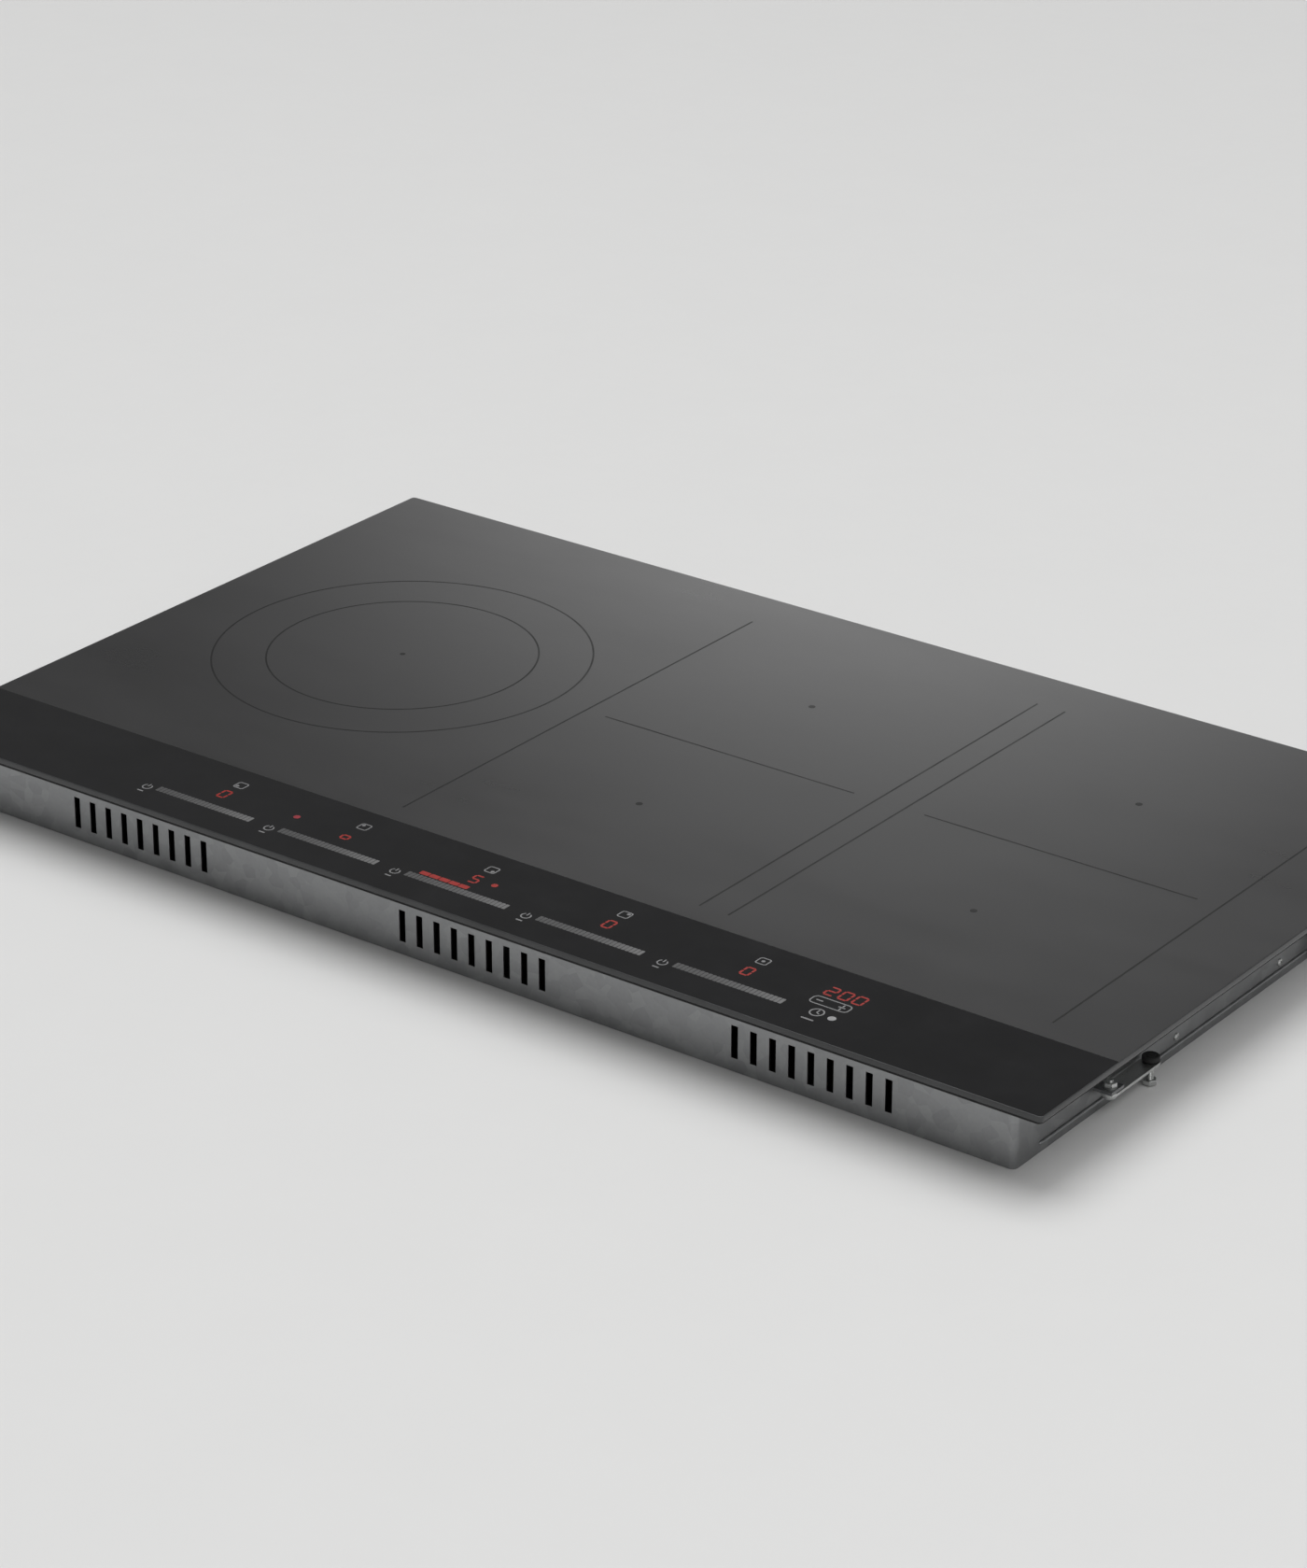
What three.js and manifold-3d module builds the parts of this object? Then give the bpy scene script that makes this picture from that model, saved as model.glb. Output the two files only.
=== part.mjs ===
// Built-in electric induction cooktop, 900 mm wide, with five cooking zones and a touch control strip.
// Millimetres, +Z up, front towards -Y. The origin is the centre of the footprint, at the underside of the
// steel tray.
// Every mesh is one separate solid. Pieces that touch on the real object keep a small gap between their
// meshes.

import * as THREE from "three";
import { mergeVertices } from "three/addons/utils/BufferGeometryUtils.js";
import Module from "manifold-3d";

const wasm = await Module();
wasm.setup();

// ---------------------------------------------------------------- driving dimensions

const HEIGHT = 56;
const GAP = 0.3;
const GLASS = { width: 900, depth: 530, thickness: 4, corner: 3, arris: 0.5 };
const TRAY = { width: 836, depth: 482, sheet: 1, wallTop: 48.5, corner: 4 };
const FLANGE = { width: 860, depth: 488, corner: 5 };
const FLANGE_SCREW = { x: 424, perSide: 4, pitch: 130, hole: 1.9 };
const OUTLET_SLOT = { count: 9, pitch: 14, width: 5, bottom: 9, top: 31 };
const SIDE_VENT = { count: 6, pitch: 18, width: 5, bottom: 24, top: 42 };
const SEAL = { inset: 1.5, sideWidth: 10.5, endWidth: 14, bottom: 49.5, thickness: 2.2 };
const FRAME = { bottom: 49.8, thickness: 1.9, width: 862, depth: 491, side: 27, front: 4, rear: 17.5 };

// Cooking zones: the round one on the left and two pairs of rectangular ones that can act together.
const ZONE_MIDDLE_Y = 29.5;
const ROUND_ZONE_X = -265;
const PAIR_ZONE = { centres: [14.5, 273.5], depth: 193.5 };

// Heights of the layers under the glass.
const PLATE = { bottom: 37.9, sheet: 1.5, corner: 8, legY: 120, legWidth: 14, foot: 9, slotX: 62 };
const FORMER = { bottom: 39.7, thickness: 3.4, rim: 1.6 };
const WINDING = { bottom: 43.4, thickness: 5 };
const PAD = { bottom: 48.7, thickness: 3 };
const BOARD = { bottom: 6, thickness: 1.6, standoff: 3.2, sink: 0.2 };

const MODULE_X = [ROUND_ZONE_X, ...PAIR_ZONE.centres];
const MODULE_NAMES = ["left", "middle", "right"];
const FAN = { y: 120, radius: 46, wall: 1.5, bottom: 1.3, top: 29, inlet: 34, outletWidth: 62, outlet: 54 };
const ROTOR = { radius: 40, bladeDepth: 9, bottom: 5, top: 25, hub: 14, blades: 16, bore: 3.4, post: 3 };

const TERMINAL = { left: 270, right: 402, front: 186, top: 33, wall: 2 };
const RECESS = { left: 272, right: 304, depth: 15, top: 34 };
const COVER = { left: 308, right: 396, top: 31.5, sheet: 2.4, hingeZ: 11, hingeY: 243.6 };
const EAR = { inset: 5, half: 1.2, play: 1.6, radius: 2.9, hole: 1.9, pin: 1.5 };
const BLOCK = { ways: 5, pitch: 16, front: 204, rear: 224, height: 15, wallHeight: 20 };
const GLAND = { x: 288, z: 16.5, bore: 5.6, body: 9.2, inner: 12, flange: 13, nut: 12.4 };
const LEAD = { y: 205, z: 16, radius: 4, hole: 5.2 };

const CLAMP = { x: 425.5, y: 150, width: 12, reach: 46, bottom: 14, sheet: 2, pin: 2, pinPlay: 0.35 };
const LUG = { bottom: 16.3, thickness: 2, reach: 5.5, width: 14 };
const JACK = { bottom: 0.8, head: 4.6, headHeight: 3, screw: 2.3, hole: 2.7, pad: 5.6, padHeight: 3.4 };
const CONTROL = { left: -268, right: 306, front: -239.5, rear: -190 };

// ---------------------------------------------------------------- materials

const material = (color, roughness, metalness) =>
  new THREE.MeshStandardMaterial({ color, roughness, metalness });

const MATERIALS = {
  blackGlass: material(0x141414, 0.12, 0),
  galvanised: material(0xa6a9ab, 0.45, 0.9),
  zincSteel: material(0xc2c4c4, 0.35, 1),
  aluminium: material(0xc4c6c8, 0.4, 1),
  foam: material(0x1c1c1c, 0.95, 0),
  rubber: material(0x151515, 0.85, 0),
  copper: material(0xa0562c, 0.4, 1),
  ferrite: material(0x2c2c2e, 0.8, 0),
  fibre: material(0xd9d5c6, 0.95, 0),
  circuit: material(0x1f5a38, 0.5, 0),
  blackPlastic: material(0x1e1f20, 0.55, 0),
  whitePlastic: material(0xe4e2da, 0.5, 0),
  wire: material(0x7a2018, 0.5, 0),
};

// ---------------------------------------------------------------- solids

// A closed three.js geometry as a manifold-3d solid.
function solidOf(geometry) {
  const bare = (geometry.index ? geometry.toNonIndexed() : geometry.clone())
    .deleteAttribute("normal")
    .deleteAttribute("uv");
  const merged = mergeVertices(bare, 1e-4);
  return new wasm.Manifold(
    new wasm.Mesh({
      numProp: 3,
      vertProperties: merged.attributes.position.array,
      triVerts: new Uint32Array(merged.index.array),
    }),
  );
}

function geometryOf(solid) {
  const mesh = solid.getMesh();
  const geometry = new THREE.BufferGeometry();
  geometry.setAttribute("position", new THREE.BufferAttribute(mesh.vertProperties, 3));
  geometry.setIndex(new THREE.BufferAttribute(mesh.triVerts, 1));
  geometry.computeVertexNormals();
  return geometry;
}

const union = (geometries) => geometries.map(solidOf).reduce((whole, next) => whole.add(next));
const join = (...geometries) => geometryOf(union(geometries));
const cut = (body, ...tools) => geometryOf(solidOf(body).subtract(union(tools)));

// ---------------------------------------------------------------- basic shapes

// A box between two corners.
const box = (x0, x1, y0, y1, z0, z1) =>
  new THREE.BoxGeometry(x1 - x0, y1 - y0, z1 - z0).translate(
    (x0 + x1) / 2,
    (y0 + y1) / 2,
    (z0 + z1) / 2,
  );

// An upright cylinder at x, y, from z0 to z1.
const post = (x, y, z0, z1, radius, sides = 20) =>
  new THREE.CylinderGeometry(radius, radius, z1 - z0, sides)
    .rotateX(Math.PI / 2)
    .translate(x, y, (z0 + z1) / 2);

// A solid of revolution about Z, from [radius, height] pairs.
const turned = (profile, sides = 24) =>
  new THREE.LatheGeometry(
    profile.map(([radius, height]) => new THREE.Vector2(radius, height)),
    sides,
  ).rotateX(Math.PI / 2);

// A rectangle with round corners, as a Shape or as a hole in one.
function roundedRectangle(Kind, x0, x1, y0, y1, radius) {
  const path = new Kind();
  path.moveTo(x0 + radius, y0);
  path.lineTo(x1 - radius, y0);
  path.absarc(x1 - radius, y0 + radius, radius, -Math.PI / 2, 0);
  path.lineTo(x1, y1 - radius);
  path.absarc(x1 - radius, y1 - radius, radius, 0, Math.PI / 2);
  path.lineTo(x0 + radius, y1);
  path.absarc(x0 + radius, y1 - radius, radius, Math.PI / 2, Math.PI);
  path.lineTo(x0, y0 + radius);
  path.absarc(x0 + radius, y0 + radius, radius, Math.PI, Math.PI * 1.5);
  return path;
}

const centredRectangle = (Kind, width, depth, radius, x = 0, y = 0) =>
  roundedRectangle(Kind, x - width / 2, x + width / 2, y - depth / 2, y + depth / 2, radius);

function circle(Kind, x, y, radius) {
  const path = new Kind();
  path.absarc(x, y, radius, 0, Math.PI * 2);
  return path;
}

// A flat piece of an outline with holes, from z0 to z1.
function slab(outline, holes, z0, z1, curveSegments = 4) {
  outline.holes.push(...holes);
  return new THREE.ExtrudeGeometry(outline, {
    depth: z1 - z0,
    bevelEnabled: false,
    curveSegments,
  }).translate(0, 0, z0);
}

// ---------------------------------------------------------------- the assembly

const cooktop = new THREE.Group();

function add(name, geometry, surface, parent = cooktop) {
  const mesh = new THREE.Mesh(geometry, surface);
  mesh.name = name;
  parent.add(mesh);
  return mesh;
}

const evenly = (count, pitch) =>
  Array.from({ length: count }, (_, i) => (i - (count - 1) / 2) * pitch);

// ---------------------------------------------------------------- glass, frame and seal

function glassTop() {
  const { width, depth, thickness, corner, arris } = GLASS;
  const outline = centredRectangle(
    THREE.Shape,
    width - 2 * arris,
    depth - 2 * arris,
    corner - arris,
  );
  return new THREE.ExtrudeGeometry(outline, {
    depth: thickness - 2 * arris,
    bevelThickness: arris,
    bevelSize: arris,
    bevelSegments: 1,
    curveSegments: 2,
  }).translate(0, 0, HEIGHT - thickness + arris);
}

// The frame is bonded to the glass and takes the screws that hold the tray.
function supportFrame() {
  const { bottom, thickness, width, depth, side, front, rear } = FRAME;
  const opening = roundedRectangle(
    THREE.Path,
    -width / 2 + side,
    width / 2 - side,
    -depth / 2 + front,
    depth / 2 - rear,
    6,
  );
  const outline = centredRectangle(THREE.Shape, width, depth, 3);
  return slab(outline, [opening], bottom, bottom + thickness, 2);
}

function perimeterSeal() {
  const { inset, sideWidth, endWidth, bottom, thickness } = SEAL;
  const width = GLASS.width - 2 * inset;
  const depth = GLASS.depth - 2 * inset;
  const outline = centredRectangle(THREE.Shape, width, depth, 4);
  const opening = centredRectangle(
    THREE.Path,
    width - 2 * sideWidth,
    depth - 2 * endWidth,
    2,
  );
  return slab(outline, [opening], bottom, bottom + thickness, 2);
}

// ---------------------------------------------------------------- steel tray

// Slots over a round fan inlet, in rows whose length follows the circle, with a rib down the middle.
function inletSlots(x, y) {
  const rows = 7;
  const pitch = 9.5;
  const slotWidth = 5;
  const rib = 6;
  return evenly(rows, pitch).flatMap((offset) => {
    const half = Math.sqrt((FAN.inlet + 2) ** 2 - offset ** 2);
    const [y0, y1] = [y + offset - slotWidth / 2, y + offset + slotWidth / 2];
    return [
      box(x - half, x - rib / 2, y0, y1, -1, 2),
      box(x + rib / 2, x + half, y0, y1, -1, 2),
    ];
  });
}

// Upright slots that let the warm air out at the front wall.
const frontOutletSlots = (x) => {
  const { count, pitch, width, bottom, top } = OUTLET_SLOT;
  const wall = -TRAY.depth / 2;
  return evenly(count, pitch).map((offset) =>
    box(x + offset - width / 2, x + offset + width / 2, wall - 1, wall + 2, bottom, top),
  );
};

const sideSlots = (side) => {
  const { count, pitch, width, bottom, top } = SIDE_VENT;
  const wall = (side * TRAY.width) / 2;
  return evenly(count, pitch).map((offset) =>
    box(wall - 2, wall + 2, offset - width / 2, offset + width / 2, bottom, top),
  );
};

// The lug on the tray wall that carries a clamp's pivot screw, and the hole in it.
const clampLug = (side, end) => {
  const near = side * (TRAY.width / 2 - TRAY.sheet / 2);
  const far = side * (CLAMP.x + LUG.reach);
  return box(
    Math.min(near, far),
    Math.max(near, far),
    end * CLAMP.y - LUG.width / 2,
    end * CLAMP.y + LUG.width / 2,
    LUG.bottom,
    LUG.bottom + LUG.thickness,
  );
};

const CORNERS = [
  ["front_left", -1, -1],
  ["front_right", 1, -1],
  ["rear_left", -1, 1],
  ["rear_right", 1, 1],
];

// The recess in the rear wall that takes the cable gland, grown by a margin on its closed sides.
const cableRecess = (margin) =>
  box(
    RECESS.left - margin,
    RECESS.right + margin,
    TRAY.depth / 2 - RECESS.depth - margin,
    TRAY.depth / 2 + 2,
    -2,
    RECESS.top + margin,
  );

function bottomTray() {
  const { width, depth, sheet, wallTop, corner } = TRAY;
  const flange = slab(
    centredRectangle(THREE.Shape, FLANGE.width, FLANGE.depth, FLANGE.corner),
    [],
    wallTop,
    wallTop + sheet,
    2,
  );
  const shell = slab(
    centredRectangle(THREE.Shape, width, depth, corner),
    [],
    0,
    wallTop + sheet / 2,
    3,
  );
  const inside = slab(
    centredRectangle(THREE.Shape, width - 2 * sheet, depth - 2 * sheet, corner - sheet),
    [],
    sheet,
    HEIGHT,
    3,
  );
  const rear = depth / 2;
  const glandFace = rear - RECESS.depth;
  const window = box(COVER.left + 3, COVER.right - 3, rear - 2, rear + 1, 7, COVER.top - 3);
  const glandHole = pinAlongY(GLAND.x, GLAND.z, glandFace - 2, glandFace + 1, GLAND.body + GAP);
  const screwHoles = [-1, 1].flatMap((side) =>
    evenly(FLANGE_SCREW.perSide, FLANGE_SCREW.pitch).map((y) =>
      post(side * FLANGE_SCREW.x, y, wallTop - 1, wallTop + 2, FLANGE_SCREW.hole, 8),
    ),
  );
  const lugs = CORNERS.map(([, side, end]) => clampLug(side, end));
  const pivotHoles = CORNERS.map(([, side, end]) =>
    post(
      side * CLAMP.x,
      end * CLAMP.y,
      LUG.bottom - 1,
      LUG.bottom + LUG.thickness + 1,
      CLAMP.pin + CLAMP.pinPlay,
      12,
    ),
  );
  const folded = cut(join(flange, cut(shell, cableRecess(0))), cut(inside, cableRecess(sheet)));
  return cut(
    join(folded, ...lugs),
    ...MODULE_X.flatMap((x) => [...inletSlots(x, FAN.y), ...frontOutletSlots(x)]),
    ...sideSlots(-1),
    ...sideSlots(1),
    window,
    glandHole,
    ...screwHoles,
    ...pivotHoles,
  );
}

// ---------------------------------------------------------------- mains connection

// Cylinders on the cover's hinge axis and on the gland's axis.
const pinAlongX = (x0, x1, radius) =>
  post(0, 0, x0, x1, radius, 14).rotateY(Math.PI / 2).translate(0, COVER.hingeY, COVER.hingeZ);
const pinAlongY = (x, z, y0, y1, radius) =>
  post(0, 0, -y1, -y0, radius, 24).rotateX(Math.PI / 2).translate(x, 0, z);

// A plastic box inside the rear wall, open at the back, with two ears that carry the cover's pins.
function terminalBox() {
  const { left, right, front, top, wall } = TERMINAL;
  const rear = TRAY.depth / 2 - TRAY.sheet - GAP;
  const bottom = TRAY.sheet + GAP;
  const shell = cut(
    box(left, right, front, rear, bottom, top),
    box(left + wall, right - wall, front + wall, rear + 1, bottom + wall, top - wall),
  );
  const { hingeY, hingeZ } = COVER;
  const earX = [COVER.left + EAR.inset, COVER.right - EAR.inset];
  const ears = earX.flatMap((x) => [
    box(x - EAR.half, x + EAR.half, rear - 4, hingeY, hingeZ - 1.5, hingeZ + 1.5),
    box(x - EAR.half, x + EAR.half, rear - 8, rear - 3, bottom + 1, hingeZ + 1.5),
    pinAlongX(x - EAR.half, x + EAR.half, EAR.radius),
  ]);
  const wireHole = post(0, 0, -4, 4, LEAD.hole, 16)
    .rotateY(Math.PI / 2)
    .translate(left, LEAD.y, LEAD.z);
  const pinHole = pinAlongX(COVER.left, COVER.right, EAR.hole);
  return cut(join(shell, ...ears), wireHole, pinHole, cableRecess(TRAY.sheet + GAP));
}

function terminalCover() {
  const { left, right, top, sheet, hingeZ } = COVER;
  const inner = TRAY.depth / 2 + 0.8;
  const outer = inner + sheet;
  const panel = box(left, right, inner, outer, hingeZ + 3.6, top);
  const { inset, play } = EAR;
  const earX = [left + inset, right - inset];
  const barrels = [
    [left, earX[0] - play],
    [earX[0] + play, earX[1] - play],
    [earX[1] + play, right],
  ].flatMap(([x0, x1]) => [pinAlongX(x0, x1, 2.3), box(x0, x1, inner, outer, hingeZ - 1, top - 1)]);
  const pin = pinAlongX(left, right, EAR.pin);
  const middle = (left + right) / 2;
  const ribs = evenly(3, 26).map((offset) => {
    const x = middle + offset;
    return box(x - 1, x + 1, outer - 0.2, outer + 0.8, hingeZ + 6, top - 3);
  });
  const latch = box(middle - 7, middle + 7, outer - 0.5, outer + 1.8, top - 2.4, top);
  const window = box(earX[0] - play, earX[0] + play, inner - 1, outer + 1, 0, hingeZ + 3.6);
  const otherWindow = window.clone().translate(earX[1] - earX[0], 0, 0);
  return join(cut(join(panel, ...barrels, ...ribs, latch), window, otherWindow), pin);
}

function terminalBlock() {
  const { ways, pitch, front, rear, height, wallHeight } = BLOCK;
  const centre = (COVER.left + COVER.right) / 2;
  const middleY = (front + rear) / 2;
  const half = (ways * pitch) / 2 + 1;
  const bottom = TRAY.sheet + GAP + TERMINAL.wall + GAP;
  const body = box(centre - half, centre + half, front, rear, bottom, bottom + height);
  const walls = evenly(ways + 1, pitch).map((offset) => {
    const x = centre + offset;
    return box(x - 1, x + 1, front - 1, rear + 1, bottom, bottom + wallHeight);
  });
  const entries = evenly(ways, pitch).map((offset) =>
    post(0, 0, -5, 5, 3, 8).rotateX(Math.PI / 2).translate(centre + offset, rear, bottom + 7),
  );
  const screwWells = evenly(ways, pitch).map((offset) =>
    post(centre + offset, middleY, bottom + 11, bottom + height + 1, 3.2, 10),
  );
  return cut(join(body, ...walls), ...entries, ...screwWells);
}

// The strain relief that the supply cable passes through, made about Z with its outer end up.
function cableGland() {
  const { bore, body, inner, flange, x, z } = GLAND;
  const sleeve = turned(
    [
      [bore, -inner],
      [body, -inner],
      [body, GAP],
      [flange, GAP],
      [flange, 2.5],
      [10.6, 3],
      [10.2, 9],
      [8.2, 11.5],
      [bore, 11.5],
      [bore, -inner],
    ],
    24,
  );
  const nut = post(0, 0, 3, 8, GLAND.nut, 6);
  const bareNut = cut(nut, post(0, 0, 2, 9, body - 1, 12));
  const face = TRAY.depth / 2 - RECESS.depth;
  return join(sleeve, bareNut).rotateX(-Math.PI / 2).translate(x, face, z);
}

// ---------------------------------------------------------------- worktop clamps

// The arm lies along +Y from its pivot at the local origin.
function clampArm() {
  const { width, reach, bottom, sheet, pin } = CLAMP;
  const outline = new THREE.Shape();
  const half = width / 2;
  outline.absarc(0, 0, half, Math.PI, 2 * Math.PI);
  outline.absarc(0, reach, half, 0, Math.PI);
  const pivotHole = circle(THREE.Path, 0, 0, pin + CLAMP.pinPlay);
  const jackHole = circle(THREE.Path, 0, reach, JACK.hole);
  const strip = slab(outline, [pivotHole, jackHole], bottom, bottom + sheet, 6);
  const rib = box(-1.5, 1.5, 9, reach - 9, bottom - 1.6, bottom + 0.5);
  return join(strip, rib);
}

function clampPivot() {
  const { pin, bottom } = CLAMP;
  const headTop = bottom - GAP;
  const nutBottom = LUG.bottom + LUG.thickness + GAP;
  return join(
    post(0, 0, headTop - 3.2, headTop, 4.6, 16),
    post(0, 0, headTop - 1, nutBottom + 4.4, pin, 12),
    post(0, 0, nutBottom, nutBottom + 3.2, 4.4, 6),
  );
}

// The jack screw: a hexagon head below, the thread, and the pad that presses up on the worktop.
function clampJack() {
  const { bottom, head, headHeight, screw, pad, padHeight } = JACK;
  const padBottom = CLAMP.bottom + CLAMP.sheet + GAP;
  return join(
    post(0, 0, bottom, bottom + headHeight, head, 6),
    post(0, 0, bottom + headHeight - 0.8, padBottom + 1, screw, 12),
    turned(
      [
        [0, padBottom],
        [pad - 0.6, padBottom],
        [pad, padBottom + 0.8],
        [pad, padBottom + padHeight],
        [0, padBottom + padHeight],
      ],
      16,
    ),
  );
}

function addClamps() {
  for (const [corner, side, end] of CORNERS) {
    const clamp = new THREE.Group();
    clamp.position.set(side * CLAMP.x, end * CLAMP.y, 0);
    clamp.rotation.z = end < 0 ? 0 : Math.PI;
    cooktop.add(clamp);
    add(`clamp_arm_${corner}`, clampArm(), MATERIALS.zincSteel, clamp);
    add(`clamp_pivot_${corner}`, clampPivot(), MATERIALS.zincSteel, clamp);
    const jack = add(`clamp_jack_${corner}`, clampJack(), MATERIALS.rubber, clamp);
    jack.position.y = CLAMP.reach;
  }
}

// ---------------------------------------------------------------- coils

const SENSOR_HOLE = 4;

// A pressed sheet that carries one or two coils, on four bent legs.
function coilPlate(x, width, depth, sensors) {
  const { bottom, sheet, corner, legY, legWidth, foot, slotX } = PLATE;
  const y = ZONE_MIDDLE_Y;
  const holes = sensors.map(([sx, sy]) => circle(THREE.Path, sx, sy, SENSOR_HOLE));
  const slots = sensors.flatMap(([sx, sy]) =>
    [-1, 1].map((side) => centredRectangle(THREE.Path, 9, 60, 4, sx + side * slotX, sy)),
  );
  const sheetMetal = slab(
    centredRectangle(THREE.Shape, width, depth, corner, x, y),
    [...holes, ...slots],
    bottom,
    bottom + sheet,
    3,
  );
  const floor = TRAY.sheet + GAP;
  const legs = [-1, 1].flatMap((side) =>
    [-1, 1].flatMap((end) => {
      const edge = x + (side * width) / 2;
      const inner = edge - side * sheet;
      const toe = edge - side * foot;
      const y0 = y + end * legY - legWidth / 2;
      const y1 = y0 + legWidth;
      return [
        box(Math.min(edge, inner), Math.max(edge, inner), y0, y1, floor, bottom + 1),
        box(Math.min(edge, toe), Math.max(edge, toe), y0, y1, floor, floor + sheet),
      ];
    }),
  );
  return join(sheetMetal, ...legs);
}

const ring = (x, y, inner, outer, z0, z1, segments) =>
  slab(circle(THREE.Shape, x, y, outer), [circle(THREE.Path, x, y, inner)], z0, z1, segments);

// The spider under a round coil: ferrite bars on a hub and a rim.
function roundFormer() {
  const z0 = FORMER.bottom;
  const z1 = z0 + FORMER.thickness;
  const bars = Array.from({ length: 8 }, (_, i) =>
    box(22, 121, -6, 6, z0, z1).rotateZ((i * Math.PI) / 4),
  );
  const hub = ring(0, 0, 16, 30, z0, z0 + FORMER.rim, 12);
  const rim = ring(0, 0, 118, 127, z0, z0 + FORMER.rim, 18);
  return join(...bars, hub, rim);
}

// The same for a rectangular coil: a rounded rim, a hub and ferrite bars along and across.
function pairFormer() {
  const z0 = FORMER.bottom;
  const z1 = z0 + FORMER.thickness;
  const rim = slab(
    centredRectangle(THREE.Shape, 226, 182, 44),
    [centredRectangle(THREE.Path, 210, 166, 36)],
    z0,
    z0 + FORMER.rim,
    3,
  );
  const lengthways = evenly(3, 52).flatMap((y) => [
    box(-107, -24, y - 6, y + 6, z0, z1),
    box(24, 107, y - 6, y + 6, z0, z1),
  ]);
  const across = [box(-6, 6, -85, -20, z0, z1), box(-6, 6, 20, 85, z0, z1)];
  const hub = slab(
    centredRectangle(THREE.Shape, 56, 122, 10),
    [circle(THREE.Path, 0, 0, 12)],
    z0,
    z0 + FORMER.rim,
    3,
  );
  return join(rim, hub, ...lengthways, ...across);
}

function pairWinding() {
  return slab(
    centredRectangle(THREE.Shape, 226, 182, 46),
    [centredRectangle(THREE.Path, 64, 40, 16)],
    WINDING.bottom,
    WINDING.bottom + WINDING.thickness,
    4,
  );
}

const insulation = (outline, sensors, segments) =>
  slab(
    outline,
    sensors.map(([x, y]) => circle(THREE.Path, x, y, 8)),
    PAD.bottom,
    PAD.bottom + PAD.thickness,
    segments,
  );

// The temperature probe that a spring holds against the glass at the centre of a coil.
function temperatureProbe() {
  const tip = HEIGHT - GLASS.thickness - GAP;
  const collar = PLATE.bottom - GAP;
  return turned(
    [
      [0, collar - 1.6],
      [5.4, collar - 1.6],
      [5.4, collar],
      [3, collar],
      [3, tip - 3],
      [5.6, tip - 3],
      [5.6, tip - 0.6],
      [5, tip],
      [0, tip],
    ],
    14,
  );
}

function addCoils() {
  const windingTop = WINDING.bottom + WINDING.thickness;
  const roundCentre = [ROUND_ZONE_X, ZONE_MIDDLE_Y];
  add("coil_plate_left", coilPlate(ROUND_ZONE_X, 276, 290, [roundCentre]), MATERIALS.aluminium);
  add("coil_former_left", roundFormer(), MATERIALS.ferrite).position.set(...roundCentre, 0);
  for (const [name, inner, outer] of [
    ["coil_winding_left_outer", 99, 128],
    ["coil_winding_left_inner", 24, 92],
  ]) {
    const winding = ring(...roundCentre, inner, outer, WINDING.bottom, windingTop, 16);
    add(name, winding, MATERIALS.copper);
  }
  const disc = circle(THREE.Shape, ...roundCentre, 133);
  add("insulation_pad_left", insulation(disc, [roundCentre], 16), MATERIALS.fibre);
  const roundProbe = add("temperature_probe_left", temperatureProbe(), MATERIALS.whitePlastic);
  roundProbe.position.set(...roundCentre, 0);

  PAIR_ZONE.centres.forEach((x, i) => {
    const place = MODULE_NAMES[i + 1];
    const depth = PAIR_ZONE.depth;
    const spots = { front: [x, ZONE_MIDDLE_Y - depth / 2], rear: [x, ZONE_MIDDLE_Y + depth / 2] };
    const both = Object.values(spots);
    const outline = centredRectangle(THREE.Shape, 236, 2 * depth - 2, 14, x, ZONE_MIDDLE_Y);
    add(`coil_plate_${place}`, coilPlate(x, 240, 2 * depth - 4, both), MATERIALS.aluminium);
    add(`insulation_pad_${place}`, insulation(outline, both, 4), MATERIALS.fibre);
    for (const [end, spot] of Object.entries(spots)) {
      const name = `${place}_${end}`;
      add(`coil_former_${name}`, pairFormer(), MATERIALS.ferrite).position.set(...spot, 0);
      add(`coil_winding_${name}`, pairWinding(), MATERIALS.copper).position.set(...spot, 0);
      const probe = add(`temperature_probe_${name}`, temperatureProbe(), MATERIALS.whitePlastic);
      probe.position.set(...spot, 0);
    }
  });
}

// ---------------------------------------------------------------- power modules

// A circuit board on standoffs, with its tall components, centred on the local origin.
function powerBoard() {
  const { bottom, thickness, standoff, sink } = BOARD;
  const top = bottom + thickness - sink;
  const sheet = box(-105, 105, -155, 62, bottom, bottom + thickness);
  const feet = [-96, 96].flatMap((x) =>
    [-146, 52].map((y) => post(x, y, TRAY.sheet + GAP, bottom + sink, standoff, 8)),
  );
  const filmCapacitors = [-86, -52].flatMap((x) =>
    [-128, -98].map((y) => box(x - 15, x + 15, y - 10, y + 10, top, 30)),
  );
  const busCapacitor = box(20, 60, -140, -118, top, 27);
  const inductor = post(78, -92, top, 26, 17, 16);
  const relays = [26, 54].map((x) => box(x - 10, x + 10, -104, -76, top, 24));
  const transformer = box(56, 92, -40, -10, top, 26);
  const connectors = [4, 30].map((y) => box(78, 98, y - 8, y + 8, top, 17));
  return join(
    sheet,
    ...feet,
    ...filmCapacitors,
    busCapacitor,
    inductor,
    ...relays,
    transformer,
    ...connectors,
  );
}

// An extruded heat sink with its fins along Y, in the fan's air stream.
function heatSink() {
  const z0 = BOARD.bottom + BOARD.thickness + GAP;
  const [front, rear, top, finHalf] = [-60, 58, 28, 0.8];
  const base = box(-30, 30, front, rear, z0, z0 + 4);
  const fins = evenly(9, 7.2).map((x) =>
    box(x - finHalf, x + finHalf, front, rear, z0 + 3, top),
  );
  return join(base, ...fins);
}

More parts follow.
